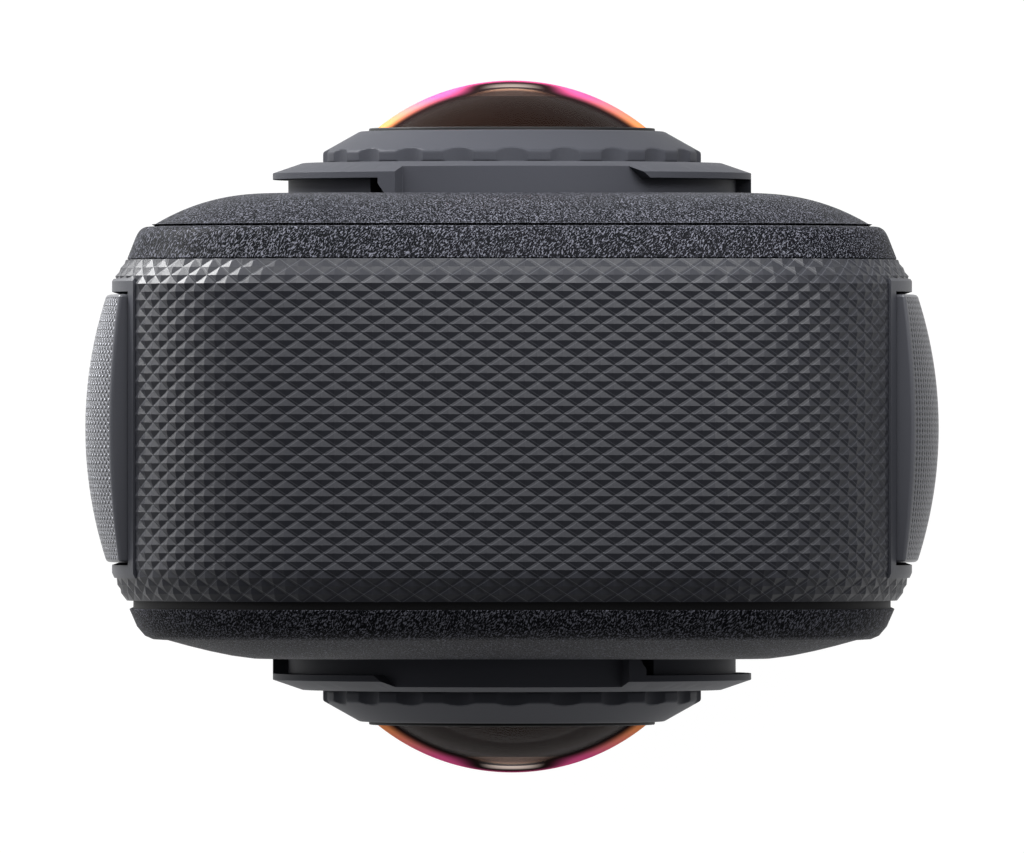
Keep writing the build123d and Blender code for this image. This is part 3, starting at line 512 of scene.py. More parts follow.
@dataclass(frozen=True)
class BlackGloss(Finish):
    """Polished cover glass that is black behind, with a faint grease film."""

    coat_roughness: float = 0.03
    film: float = 9.0
    film_gain: float = 2.2

    def dress(self, tree: bpy.types.NodeTree, shader: bpy.types.Node) -> None:
        """Adds a clear layer over the black, and gloss that varies with a film of handling.

        Args:
            tree: the material's node tree.
            shader: its shader.
        """
        noise = add(
            tree, "TexNoise", {"Vector": at_pitch(tree, self.film), "Scale": 1.0, "Detail": 5.0}
        )
        gloss = add(
            tree, "MapRange",
            {"Value": noise, "To Min": self.roughness, "To Max": self.roughness * self.film_gain},
        )
        fill(
            tree, shader,
            {"Coat Weight": 1.0, "Coat Roughness": self.coat_roughness, "Roughness": gloss},
        )


@dataclass(frozen=True)
class WireMesh(Finish):
    """Fine woven wire on a dark backing: wires that pass over and under, and dark holes.

    The real wire is finer. It is drawn as coarse as it needs to show. A wire's height falls from
    its top to its edge, both as distances from its middle in pitches.
    """

    pitch: float = 0.30
    turn_deg: float = 0.0
    hole_colour: str = "#0c0c0e"
    metallic: float = 0.7
    wire_top: float = 0.12
    wire_edge: float = 0.42
    relief: float = 0.05

    def dress(self, tree: bpy.types.NodeTree, shader: bpy.types.Node) -> None:
        """Adds the weave. Two sets of wires stand at right angles. A wire is a rounded ridge, and
        a checker says which one lies on top.

        Args:
            tree: the material's node tree.
            shader: its shader.
        """
        spun = add(
            tree, "Mapping",
            {
                "Vector": add(tree, "TexCoord").outputs["UV"],
                "Rotation": (0, 0, math.radians(self.turn_deg)),
                "Scale": (1 / self.pitch,) * 3,
            },
        )
        parts = add(tree, "SeparateXYZ", {"Vector": spun})
        folded = [
            add(tree, "Math", {0: parts.outputs[axis], 1: 0.5}, operation="PINGPONG")
            for axis in ("X", "Y")
        ]
        first, second = (
            add(
                tree, "MapRange",
                {
                    "Value": fold, "From Min": self.wire_top, "From Max": self.wire_edge,
                    "To Min": 1.0, "To Max": 0.0,
                },
                interpolation_type="SMOOTHSTEP",
            )
            for fold in folded
        )
        checker = add(
            tree, "TexChecker",
            {"Vector": spun, "Scale": 1.0, "Color1": (1, 1, 1, 1), "Color2": (0, 0, 0, 1)},
        )
        over = add(
            tree, "Mix", {"Factor": checker.outputs["Fac"], "A": first, "B": second},
            data_type="FLOAT",
        )
        either = add(tree, "Math", {0: first, 1: second}, operation="MAXIMUM")
        height = add(tree, "Math", {0: over, 1: either}, operation="ADD")
        tint = add(
            tree, "Mix",
            {"Factor": either, "A": linear(self.hole_colour), "B": linear(self.colour)},
            data_type="RGBA",
        )
        bump = add(tree, "Bump", {"Height": height, "Distance": self.relief * MM, "Strength": 1.0})
        fill(tree, shader, {"Metallic": self.metallic, "Base Color": tint, "Normal": bump})


@dataclass(frozen=True)
class OpenFoam(Finish):
    """Open-cell foam: round cells a third of a millimetre wide."""

    cell: float = 0.35
    depth: float = 0.1

    def dress(self, tree: bpy.types.NodeTree, shader: bpy.types.Node) -> None:
        """Adds the cells, which sink towards their middles.

        Args:
            tree: the material's node tree.
            shader: its shader.
        """
        roughen(tree, shader, "TexVoronoi", self.cell, self.depth)


# Rubber-like skin moulded over the frame: nearly black, and too matt to mirror anything
GRIP = PyramidGrip("moulded_soft_touch_grip", "grip_rubber", "#1d1e23", 0.40, specular=0.22)
# Polycarbonate: the frame has an even satin sheen, and both covers a dark etched leather grain
FRAME_PLASTIC = SatinMoulding(
    "satin_moulded_polycarbonate", "frame_plastic", "#34353a", 0.44, specular=0.2
)
SHELL_PLASTIC = LeatherGrain(
    "leather_grained_polycarbonate", "shell_plastic", "#090a0d", 0.45, specular=0.02
)
# Aluminium under a thick dark dye, which hides nearly all of the metal's own shine
LENS_METAL = SatinMetal(
    "blasted_anodised_aluminium", "lens_metal", "#34353a", 0.5, metallic=0.06, specular=0.05
)
# Glass with a painted pink and orange reflection at its outline, and one whose near-black cap has
# a painted white and amber reflection at its limb
DOME_GLASS = CoatedGlass(
    "coated_dome_glass", "dome_glass", "#f0e2da", 0.03, "#cc4f80", "#d98552", specular=0.0
)
INNER_GLASS = CoatedGlass(
    "coated_inner_glass", "inner_glass", "#101a14", 0.03, "#fff3e2", "#d9a04e", "#12090d",
    reach=2.9, middle_until=0.55, clear_until=0.30, tinted_from=0.80, bright_from=0.93,
    clear=0.0, thinning=0.0, specular=0.1,
)
# Black plastic that swallows stray light, and the rubber lips and gaskets
MASK_PLASTIC = SatinMoulding(
    "matt_black_baffle_plastic", "black_plastic", "#1a1615", 0.7, 0.16, 0.0005, specular=0.02
)
SEAL_RUBBER = SatinMoulding("moulded_black_rubber", "seal_rubber", "#08080a", 0.6, specular=0.2)
# Hard glass over a black display: sharp reflections on a deep black
SCREEN_GLASS = BlackGloss("polished_cover_glass", "screen_glass", "#050506", 0.04)
# Keys with a finer and glossier face than the frame round them
KEY_PLASTIC = SatinMoulding("satin_key_plastic", "button_plastic", "#202125", 0.36, 0.12, 0.003)
# The wind guards: a satin edge round dark woven wire, laid slanting on the left side
GUARD_RIM = SatinMoulding("satin_guard_rim", "guard_mesh", "#393a3f", 0.36)
LEFT_MESH = WireMesh("dark_wire_mesh_diagonal", "guard_mesh", "#606166", 0.42, turn_deg=45.0)
RIGHT_MESH = WireMesh("dark_wire_mesh_square", "guard_mesh", "#4c4d52", 0.42)
FOAM = OpenFoam("open_cell_foam", "foam", "#151516", 0.95)
# Bare metals inside: bright steel, yellow brass and the duller tinned sheet of cans and sockets
STEEL = SatinMetal("turned_steel", "steel", "#b9babd", 0.3)
BRASS = SatinMetal("turned_brass", "brass", "#c9a15a", 0.28)
ALLOY = SatinMetal("tinned_alloy_sheet", "alloy", "#b2b4b6", 0.32)
# Green lacquer over copper and glass fibre
BOARD = Finish("green_solder_mask", "board", "#14492f", 0.35)
# The battery's dull case, and its bright latches that a finger finds at once
BATTERY_WRAP = SatinMoulding("moulded_battery_case", "battery_wrap", "#26262a", 0.5)
LATCH_PLASTIC = SatinMoulding("orange_latch_plastic", "latch_plastic", "#c9662c", 0.4)
# Milky plastic that spreads the status light
LIGHT_PIPE = Finish("frosted_light_pipe", "light_pipe", "#d9dcdf", 0.35)


# Meshes

# Places of a CAD node that agree to WELD are one point, and so are points of a new mesh nearer
# than SEAM. A length under NOTHING counts as none. Faces that turn by less than FLAT_DEG are one
# face, and edges that turn by more than SHARP_DEG stay sharp. A rounding takes up SIDE_SHARE of a
# side at most, so that two of them fit on it.
WELD = 1e-3
SEAM = 1e-4
NOTHING = 1e-9
SIDE_SHARE = 0.45
FLAT_DEG = 0.3
SHARP_DEG = 30.0


def mesh_object(name: str, points: Array, faces: list | Array) -> bpy.types.Object:
    """Makes an object from points and faces.

    Args:
        name: the object's name.
        points: an array of places in millimetres.
        faces: the point numbers of each face.

    Returns:
        The object, linked to the scene.
    """
    mesh = bpy.data.meshes.new(name)
    places = np.asarray(points, float).reshape(-1, 3) * MM
    mesh.from_pydata(places.tolist(), [], np.asarray(faces).tolist())
    mesh.update()
    piece = bpy.data.objects.new(name, mesh)
    bpy.context.scene.collection.objects.link(piece)
    return piece


def grid_faces(rows: int, columns: int, wrap_rows: bool, wrap_columns: bool) -> Array:
    """The four corners of each cell of a grid, counted row by row.

    Args:
        rows: the number of rows of points.
        columns: the number of points in a row.
        wrap_rows: joins the last row to the first.
        wrap_columns: joins the last column to the first.

    Returns:
        An array of four point numbers for each face.
    """
    row = np.arange(rows if wrap_rows else rows - 1)
    column = np.arange(columns if wrap_columns else columns - 1)
    row, column = np.meshgrid(row, column, indexing="ij")
    next_row, next_column = (row + 1) % rows, (column + 1) % columns
    corners = (
        row * columns + column,
        row * columns + next_column,
        next_row * columns + next_column,
        next_row * columns + column,
    )
    return np.stack(corners, -1).reshape(-1, 4)


def tidy(piece: bpy.types.Object, sharp_deg: float = SHARP_DEG) -> bpy.types.Object:
    """Closes a mesh's seams and poles, turns its faces outwards and shades it smooth.

    Args:
        piece: the object.
        sharp_deg: edges that turn by more than this stay sharp.

    Returns:
        The object.
    """
    form = bmesh.new()
    form.from_mesh(piece.data)
    bmesh.ops.remove_doubles(form, verts=form.verts, dist=SEAM * MM)
    bmesh.ops.recalc_face_normals(form, faces=form.faces)
    form.to_mesh(piece.data)
    form.free()
    shade(piece, sharp_deg)
    return piece


def shade(piece: bpy.types.Object, sharp_deg: float) -> None:
    """Shades a mesh smooth, apart from its sharp edges.

    Args:
        piece: the object.
        sharp_deg: edges that turn by more than this stay sharp.
    """
    mesh = piece.data
    mesh.polygons.foreach_set("use_smooth", np.ones(len(mesh.polygons), bool))
    mesh.set_sharp_from_angle(angle=math.radians(sharp_deg))


def soften(
    piece: bpy.types.Object, width: float, segments: int = 2, angle_deg: float = 35.0
) -> bpy.types.Object:
    """Rounds a piece's sharp edges.

    Args:
        piece: the object.
        width: how far the rounding reaches.
        segments: its number of steps.
        angle_deg: edges that turn by more than this are rounded.

    Returns:
        The object.
    """
    bevel = piece.modifiers.new("soft_edges", "BEVEL")
    bevel.width = width * MM
    bevel.segments = segments
    bevel.limit_method = "ANGLE"
    bevel.angle_limit = math.radians(angle_deg)
    bevel.harden_normals = True
    return piece


def copy_of_node(node: str, name: str) -> bpy.types.Object:
    """A merged copy of a CAD node, with its flat faces made whole.

    A face is left out where merging has made two of its corners one.

    Args:
        node: the CAD node.
        name: the copy's name.

    Returns:
        The copy.
    """
    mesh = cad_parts[node].data
    mesh.calc_loop_triangles()
    points = np.empty(len(mesh.vertices) * 3, np.float32)
    mesh.vertices.foreach_get("co", points)
    corners = np.empty(len(mesh.loop_triangles) * 3, np.int32)
    mesh.loop_triangles.foreach_get("vertices", corners)
    snapped = np.round(points.reshape(-1, 3) / (MM * WELD))
    places, where = np.unique(snapped, axis=0, return_inverse=True)
    faces = where.reshape(-1)[corners].reshape(-1, 3)
    whole = (faces != np.roll(faces, -1, 1)).all(1)
    piece = mesh_object(name, places * WELD, faces[whole])
    form = bmesh.new()
    form.from_mesh(piece.data)
    flat = math.radians(FLAT_DEG)
    bmesh.ops.dissolve_limit(form, angle_limit=flat, verts=form.verts, edges=form.edges)
    form.to_mesh(piece.data)
    form.free()
    shade(piece, SHARP_DEG)
    return piece


def rounded(corners: list[tuple[float, float]], radius: float, steps: int = 5) -> Array:
    """Rounds every corner of a closed outline.

    Each corner becomes a parabola between two points on its sides, which lie the radius away, or
    nearly half of the shorter side where that is less.

    Args:
        corners: the outline's corners in order.
        radius: the size of the rounding.
        steps: the number of points on each corner.

    Returns:
        An array of places on the outline.
    """
    here = np.array(corners, float)
    before, after = np.roll(here, 1, 0), np.roll(here, -1, 0)
    back, ahead = before - here, after - here
    back_size = np.linalg.norm(back, axis=1, keepdims=True)
    ahead_size = np.linalg.norm(ahead, axis=1, keepdims=True)
    cut = np.minimum(radius, SIDE_SHARE * np.minimum(back_size, ahead_size))
    start, end = here + back / back_size * cut, here + ahead / ahead_size * cut
    along = np.linspace(0, 1, steps)[None, :, None]
    leaving, turning = (1 - along) ** 2 * start[:, None], 2 * along * (1 - along) * here[:, None]
    return (leaving + turning + along**2 * end[:, None]).reshape(-1, 2)


def densified(outline: Array, step: float) -> Array:
    """Adds points to a closed outline until no side is longer than a step.

    Args:
        outline: the outline's places in order.
        step: the longest side allowed.

    Returns:
        The outline with the added places.
    """
    rows = []
    for here, there in zip(outline, np.roll(outline, -1, 0)):
        count = max(1, math.ceil(np.linalg.norm(there - here) / step))
        rows.append(here + (there - here) * np.arange(count)[:, None] / count)
    return np.concatenate(rows)


def slab_between(name: str, top: Array, bottom: Array) -> bpy.types.Object:
    """A closed plate between two surfaces on the same grid, with a wall along each edge.

    Args:
        name: the object's name.
        top: a grid of places on the outer surface.
        bottom: the places under them on the inner surface.

    Returns:
        The plate.
    """
    rows, columns = top.shape[:2]
    upper = grid_faces(rows, columns, False, False)
    lower = upper[:, ::-1] + rows * columns
    number = np.arange(rows * columns).reshape(rows, columns)
    ring = np.concatenate([number[0, :-1], number[:-1, -1], number[-1, :0:-1], number[:0:-1, 0]])
    ahead = np.roll(ring, -1)
    walls = np.stack([ring, ring + rows * columns, ahead + rows * columns, ahead], -1)
    points = np.concatenate([top.reshape(-1, 3), bottom.reshape(-1, 3)])
    return mesh_object(name, points, np.concatenate([upper, lower, walls]))


def write_map(piece: bpy.types.Object, across: Array, along: Array) -> None:
    """Gives a mesh a UV map from two values at each point.

    Args:
        piece: the object.
        across: each point's first coordinate.
        along: each point's second coordinate.
    """
    mesh = piece.data
    layer = mesh.uv_layers.new(name="surface")
    corners = np.empty(len(mesh.loops), np.int32)
    mesh.loops.foreach_get("vertex_index", corners)
    pairs = np.stack([across.reshape(-1)[corners], along.reshape(-1)[corners]], -1)
    layer.data.foreach_set("uv", pairs.astype(np.float32).reshape(-1))


# The body's outline


@dataclass(frozen=True)
class BodyForm:
    """The camera body's outline and depths, as the CAD model has them.

    The steps are the points on each corner's arc and on each straight run between them.
    """

    half_width: float = 21.55
    height: float = 124.5
    top_radius: float = 12.0
    base_radius: float = 9.0
    lens_z: float = LENS_Z
    front_y: float = -9.37
    rear_y: float = 9.0
    front_bevel_depth: float = 1.5
    front_bevel_inset: float = 0.67
    rear_bevel_depth: float = 1.18
    rear_bevel_inset: float = 0.76
    corner_steps: int = 28
    side_steps: int = 40

    def bevel(self, y: Array) -> Array:
        """How far the frame's surface draws in: nothing in the middle and a straight slope near
        each edge.

        Args:
            y: depths along Y.

        Returns:
            The inset at each depth.
        """
        depths = (
            self.front_y,
            self.front_y + self.front_bevel_depth,
            self.rear_y - self.rear_bevel_depth,
            self.rear_y,
        )
        return np.interp(y, depths, (self.front_bevel_inset, 0.0, 0.0, self.rear_bevel_inset))

    def closed_outline(self, inset: float) -> Array:
        """The front outline as a closed row of points, drawn in by an inset.

        Each quarter is an arc about its corner's centre. The straight runs between them are
        divided evenly.

        Args:
            inset: how far the outline is drawn in.

        Returns:
            An array of X and Z, clockwise from the top's right end, seen from the screen side.
        """
        half = self.half_width
        turn = np.linspace(0, math.pi / 2, self.corner_steps)
        rows = []
        for sign_x, sign_z, radius in (
            (1, 1, self.top_radius),
            (1, -1, self.base_radius),
            (-1, -1, self.base_radius),
            (-1, 1, self.top_radius),
        ):
            centre_x = half - radius
            centre_z = self.height - radius if sign_z > 0 else radius
            angle = turn if sign_x * sign_z > 0 else turn[::-1]
            arc_x = sign_x * (centre_x + (radius - inset) * np.sin(angle))
            arc_z = centre_z + sign_z * (radius - inset) * np.cos(angle)
            rows.append(np.stack([arc_x, arc_z], -1))
        closed = []
        for here, there in zip(rows, rows[1:] + rows[:1]):
            run = np.linspace(0, 1, self.side_steps, endpoint=False)[1:, None]
            closed += [here, here[-1] + run * (there[0] - here[-1])]
        return np.concatenate(closed)

    def swept(self, profile: Array) -> Array:
        """Carries a profile of depth and inset round the outline.

        Args:
            profile: rows of depth Y and inset.

        Returns:
            A grid of places: one row for each point of the profile.
        """
        rows = []
        for depth, inset in profile:
            outline = self.closed_outline(inset)
            rows.append(np.stack([outline[:, 0], np.full(len(outline), depth), outline[:, 1]], -1))
        return np.stack(rows)

    def onto_circle(self, row: Array, radius: float, depth: float) -> Array:
        """Draws a row of places straight in to a circle about the lens axis.

        Args:
            row: places on the outline.
            radius: the circle's radius.
            depth: the circle's place along Y.

        Returns:
            One place on the circle for each place in the row.
        """
        away = row[:, [0, 2]] - np.array([0.0, self.lens_z])
        away = away / np.linalg.norm(away, axis=1, keepdims=True) * radius
        return np.stack([away[:, 0], np.full(len(row), depth), away[:, 1] + self.lens_z], -1)


FORM = BodyForm()
# Where both wind guards stand, which the grip leaves bare
GUARD_LOW_Z = 92.0
GUARD_HALF_DEPTH = 7.2
GUARD_MIDDLE_Y = -0.1
GUARD_BEND_DEG = 22.0
# The CAD nodes set in the grip, with the corner radius of each
RECESSED = {"battery_cap": 2.5, "usb_door": 1.5, "power_button": 2.1, "quick_button": 2.1}


# Sub-assemblies


@dataclass
class Assembly:
    """A group of pieces that are made and fitted together."""

    made: list[str] = field(default_factory=list)

    def seat(self, piece: bpy.types.Object, body: Body, finish: Finish, *nodes: str) -> None:
        """Gives a new piece its finish and puts it on its body.

        Args:
            piece: the object.
            body: the body that it rides on.
            finish: its finish.
            *nodes: the CAD nodes that it stands for.
        """
        piece.data.materials.clear()
        piece.data.materials.append(finish.build())
        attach(piece, body.value)
        if nodes:
            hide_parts(*nodes)
        self.made.append(piece.name)

    def keep(self, finish: Finish, *nodes: str) -> None:
        """Gives CAD nodes that stay their finish.

        Args:
            finish: the finish.
            *nodes: the nodes.
        """
        material = finish.build()
        for node in nodes:
            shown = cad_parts[node]
            if not shown.material_slots:
                raise ValueError(f"{node} has no material slot")
            for place in shown.material_slots:
                place.material = material
            self.made.append(node)

    def refine(
        self, node: str, body: Body, finish: Finish, width: float, segments: int = 2
    ) -> None:
        """Replaces a CAD node with a smooth copy whose edges are rounded.

        Args:
            node: the node.
            body: the body that it rides on.
            finish: its finish.
            width: how far the rounding reaches.
            segments: the rounding's number of steps.
        """
        piece = soften(copy_of_node(node, node + "_form"), width, segments)
        self.seat(piece, body, finish, node)

    def build(self) -> None:
        """Makes and finishes the pieces. Each sub-assembly has its own."""
        raise NotImplementedError

    def report(self) -> None:
        """Logs what was made."""
        for name in self.made:
            LOG.info("%s: %s", type(self).__name__, name)


@dataclass
class Housing(Assembly):
    """The frame, both covers with their panels, and the seals between them."""

    shell_inset: float = 0.81
    shell_taper: float = 0.69
    shell_face_y: float = 10.76
    shell_round: float = 0.75
    round_draw: float = 0.6
    round_power: float = 1.5
    round_steps: int = 9
    lip_depth: float = 1.2
    lip_inset: float = 2.7
    lip_wall: float = 1.2
    opening_radius: float = 11.9
    panel_inset: float = 2.1
    panel_run: float = 6.7
    panel_face_y: float = 12.57
    panel_power: float = 2.3
    panel_steps: int = 28
    reveal: float = 0.12
    reveal_inset: float = 0.5
    edge_soft: float = 0.08
    panel_soft: float = 0.06

    def rear_shell(self) -> None:
        """The tapered back cover. Its rim follows the body's outline, and its face runs in to the
        lens opening. Its upper edge is a quarter turn in depth, drawn in by a power of one less
        the turn's cosine."""
        turn = np.linspace(0, math.pi / 2, self.round_steps)
        short = self.shell_round * (1 - np.sin(turn))
        slope = self.shell_taper / (self.shell_face_y - FORM.rear_y)
        drawn = self.shell_round * self.round_draw * (1 - np.cos(turn)) ** self.round_power
        edge_y = self.shell_face_y - short
        edge_inset = self.shell_inset + self.shell_taper - slope * short + drawn
        lip_foot = FORM.rear_y - self.lip_depth
        inner = self.lip_inset + self.lip_wall
        rim = [
            (lip_foot, self.lip_inset),
            (FORM.rear_y, self.lip_inset),
            (FORM.rear_y, self.shell_inset),
        ]
        outside = FORM.swept(np.array(rim + list(zip(edge_y, edge_inset))))
        foot = FORM.swept(np.array([(FORM.rear_y, inner), (lip_foot, inner)]))
        high = FORM.onto_circle(outside[-1], self.opening_radius, self.shell_face_y)
        low = FORM.onto_circle(outside[-1], self.opening_radius, FORM.rear_y)
        self.covered("rear_shell", [outside, high[None], low[None], foot], self.edge_soft)

    def rear_panel(self) -> None:
        """The raised back panel. Its edge height is one less a falling power of the way in, and
        its foot draws back under the edge, which leaves a shadow line above the shell."""
        share = np.linspace(0, 1, self.panel_steps)
        rise = self.panel_face_y - self.shell_face_y
        edge_y = self.shell_face_y + self.reveal
        depth = self.shell_face_y + rise * (1 - (1 - share) ** self.panel_power)
        inset = self.panel_inset + self.panel_run * share
        drawn_in = self.panel_inset + self.reveal_inset
        foot = [(self.shell_face_y, drawn_in), (edge_y, drawn_in)]
        rim = np.concatenate([foot, np.stack([np.maximum(depth, edge_y), inset], -1)])
        dome = FORM.swept(rim)
        high = FORM.onto_circle(dome[-1], self.opening_radius, self.panel_face_y)
        low = FORM.onto_circle(dome[-1], self.opening_radius, self.shell_face_y)
        self.covered("rear_panel", [dome, high[None], low[None]], self.panel_soft)

    def covered(self, node: str, rows: list[Array], width: float) -> None:
        """Closes the rows of a cover's grid into a ring, and seats it in its node's place.

        Args:
            node: the CAD node.
            rows: grids of places, in order round the cover's section.
            width: how far the rounding of its edges reaches.
        """
        grid = np.concatenate(rows)
        piece = mesh_object(node + "_form", grid, grid_faces(*grid.shape[:2], True, True))
        self.seat(soften(tidy(piece), width), Body.HOUSING, SHELL_PLASTIC, node)

    def build(self) -> None:
        """Makes the housing's pieces."""
        self.rear_shell()
        self.rear_panel()
        self.refine("mid_frame", Body.HOUSING, FRAME_PLASTIC, self.edge_soft)
        self.refine("front_shell", Body.HOUSING, SHELL_PLASTIC, self.panel_soft)
        self.refine("front_panel", Body.HOUSING, SHELL_PLASTIC, self.panel_soft)
        self.keep(SEAL_RUBBER, "front_gasket", "rear_gasket")


@dataclass
class Grip(Assembly):
    """The moulded grip: a lattice of low pyramids wrapped round the frame's sides and top."""

    low_z: float = 9.5
    rhombus_length: float = 1.357
    rhombus_width: float = 0.875
    pyramid_height: float = 0.13
    wall: float = 0.32
    gap: float = 0.15
    border: float = 0.7
    guard_corner: float = 0.4
    speaker_z: float = 15.0
    speaker_half: tuple[float, float] = (5.1, 1.65)
    beside: dict[str, float] = field(default_factory=lambda: dict(RECESSED))
    first_row_y: float = -9.4

    def spine(self) -> tuple[Array, Array, Array, Array]:
        """The path that the grip follows, as lengths with the corner centres and outward angles.

        Returns:
            Lengths along the path, the centre line's X and Z there, and the outward direction's
            angle from +X.
        """
        side = FORM.height - FORM.top_radius - self.low_z
        arc = FORM.top_radius * math.pi / 2
        top = 2 * (FORM.half_width - FORM.top_radius)
        lengths = np.cumsum([0, side, arc, top, arc, side])
        corner_x = FORM.half_width - FORM.top_radius
        corner_z = FORM.height - FORM.top_radius
        x = np.array([-corner_x, -corner_x, -corner_x, corner_x, corner_x, corner_x])
        z = np.array([self.low_z, corner_z, corner_z, corner_z, corner_z, self.low_z])
        angle = np.radians([180, 180, 90, 90, 0, 0])
        return lengths, x, z, angle

    def pads(self) -> Array:
        """Every bare place in the grip: the guards, the recessed pieces and the speaker's slots.

        Returns:
            Rows of a middle along the path and along Y, a half size along the path and along Y,
            and a corner radius.
        """
        total = self.spine()[0][-1]
        straight = FORM.height - FORM.top_radius - self.low_z
        margin = self.gap + self.border
        guard_low = GUARD_LOW_Z - margin - self.low_z
        guard_high = straight + FORM.top_radius * math.radians(GUARD_BEND_DEG) + margin
        guard = (
            (guard_low + guard_high) / 2,
            GUARD_MIDDLE_Y,
            (guard_high - guard_low) / 2,
            GUARD_HALF_DEPTH + margin,
            self.guard_corner,
        )
        rows = [guard, (total - guard[0], *guard[1:])]
        for node, round_off in self.beside.items():
            low, high = (np.array(corner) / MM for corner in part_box(node))
            middle_x, middle_y, middle_z = (low + high) / 2
            _, half_y, half_z = (high - low) / 2 + margin
            up = middle_z - self.low_z
            along = up if middle_x < 0 else total - up
            rows.append((along, middle_y, half_z, half_y, min(round_off + margin, half_y)))
        # The slots lie at the depth of the side buttons, which end the list of recessed pieces
        buttons_y = rows[-1][1]
        speaker_along = total - (self.speaker_z - self.low_z)
        rows.append((speaker_along, buttons_y, *self.speaker_half, self.speaker_half[1]))
        return np.array(rows)

    def drawn_off_pads(self, along: Array, y: Array) -> tuple[Array, Array, Array]:
        """Draws the points that lie inside a bare place straight out to its edge.

        A bare place is a rectangle with round corners. A point's distance from its edge is the
        way beyond the corners' centres less the corner radius, and is negative inside.

        Args:
            along: each point's length along the path.
            y: each point's place along Y.

        Returns:
            Both after the move, and which points were inside a bare place.
        """
        inside = np.zeros(along.shape, bool)
        for middle, middle_y, half, half_y, radius in self.pads():
            off = np.stack([along - middle, y - middle_y], -1)
            size = np.array([half - radius, half_y - radius])
            past = np.abs(off) - size
            beyond = np.maximum(past, 0)
            reach = np.linalg.norm(beyond, axis=-1)
            distance = reach + np.minimum(past.max(-1), 0) - radius
            within = distance < 0
            flat = np.where(past[..., :1] > past[..., 1:], [1.0, 0.0], [0.0, 1.0])
            off_corner = beyond / np.maximum(reach, NOTHING)[..., None]
            outward = np.where(reach[..., None] > NOTHING, off_corner, flat)
            outward = outward * np.where(off < 0, -1.0, 1.0)
            along = np.where(within, along - distance * outward[..., 0], along)
            y = np.where(within, y - distance * outward[..., 1], y)
            inside |= within
        return along, y, inside

    def lattice(self) -> bpy.types.Object:
        """The pyramids' surface.

        The points stand on a grid of half diagonals. Every other point, as on a chessboard, is a
        peak, and the rest lie in the valleys. Each cell is split along its line of valleys, so the
        four triangles round a peak make one pyramid. Cells inside a bare place are left out, and
        those across its edge end on it. A point's place is the path's centre line plus the corner
        radius, less the bevel's inset and the valley's depth, along the outward direction there.

        Returns:
            The surface, with a wall that is given by a modifier.
        """
        lengths, spine_x, spine_z, spine_angle = self.spine()
        columns = 2 * round(lengths[-1] / self.rhombus_length) + 1
        along = np.linspace(0, lengths[-1], columns)
        step_y = self.rhombus_width / 2
        rows = math.ceil((FORM.rear_y - self.first_row_y) / step_y) + 1
        y = np.clip(self.first_row_y + np.arange(rows) * step_y, FORM.front_y, FORM.rear_y)
        along, y = np.meshgrid(along, y)
        row, column = np.indices(along.shape)
        peak = (row + column) % 2 == 0
        edge = (row == 0) | (row == rows - 1) | (column == 0) | (column == columns - 1)
        map_along, map_y = along.copy(), y.copy()
        along, y, inside = self.drawn_off_pads(along, y)
        height = np.where(peak & ~edge & ~inside, 0.0, -self.pyramid_height)
        x_mid = np.interp(along, lengths, spine_x)
        z_mid = np.interp(along, lengths, spine_z)
        angle = np.interp(along, lengths, spine_angle)
        reach = FORM.top_radius - FORM.bevel(y) + height
        points = np.stack([x_mid + reach * np.cos(angle), y, z_mid + reach * np.sin(angle)], -1)
        cells = grid_faces(rows, columns, False, False)
        starts_high = peak.reshape(-1)[cells[:, 0]][:, None]
        first = np.where(starts_high, cells[:, [0, 1, 3]], cells[:, [0, 1, 2]])
        second = np.where(starts_high, cells[:, [1, 2, 3]], cells[:, [0, 2, 3]])
        faces = np.concatenate([first, second])
        faces = faces[~inside.reshape(-1)[faces].all(1)]
        piece = mesh_object("pyramid_grip", points, faces)
        map_along, map_y = map_along / self.rhombus_length, map_y - self.first_row_y
        write_map(piece, map_along, map_y / self.rhombus_width)
        form = bmesh.new()
        form.from_mesh(piece.data)
        loose = [point for point in form.verts if not point.link_faces]
        bmesh.ops.delete(form, geom=loose, context="VERTS")
        form.normal_update()
        form.to_mesh(piece.data)
        form.free()
        wall = piece.modifiers.new("wall", "SOLIDIFY")
        wall.thickness = self.wall * MM
        wall.offset = -1.0
        return piece

    def build(self) -> None:
        """Makes the grip."""
        self.seat(self.lattice(), Body.HOUSING, GRIP, "grip_skin")


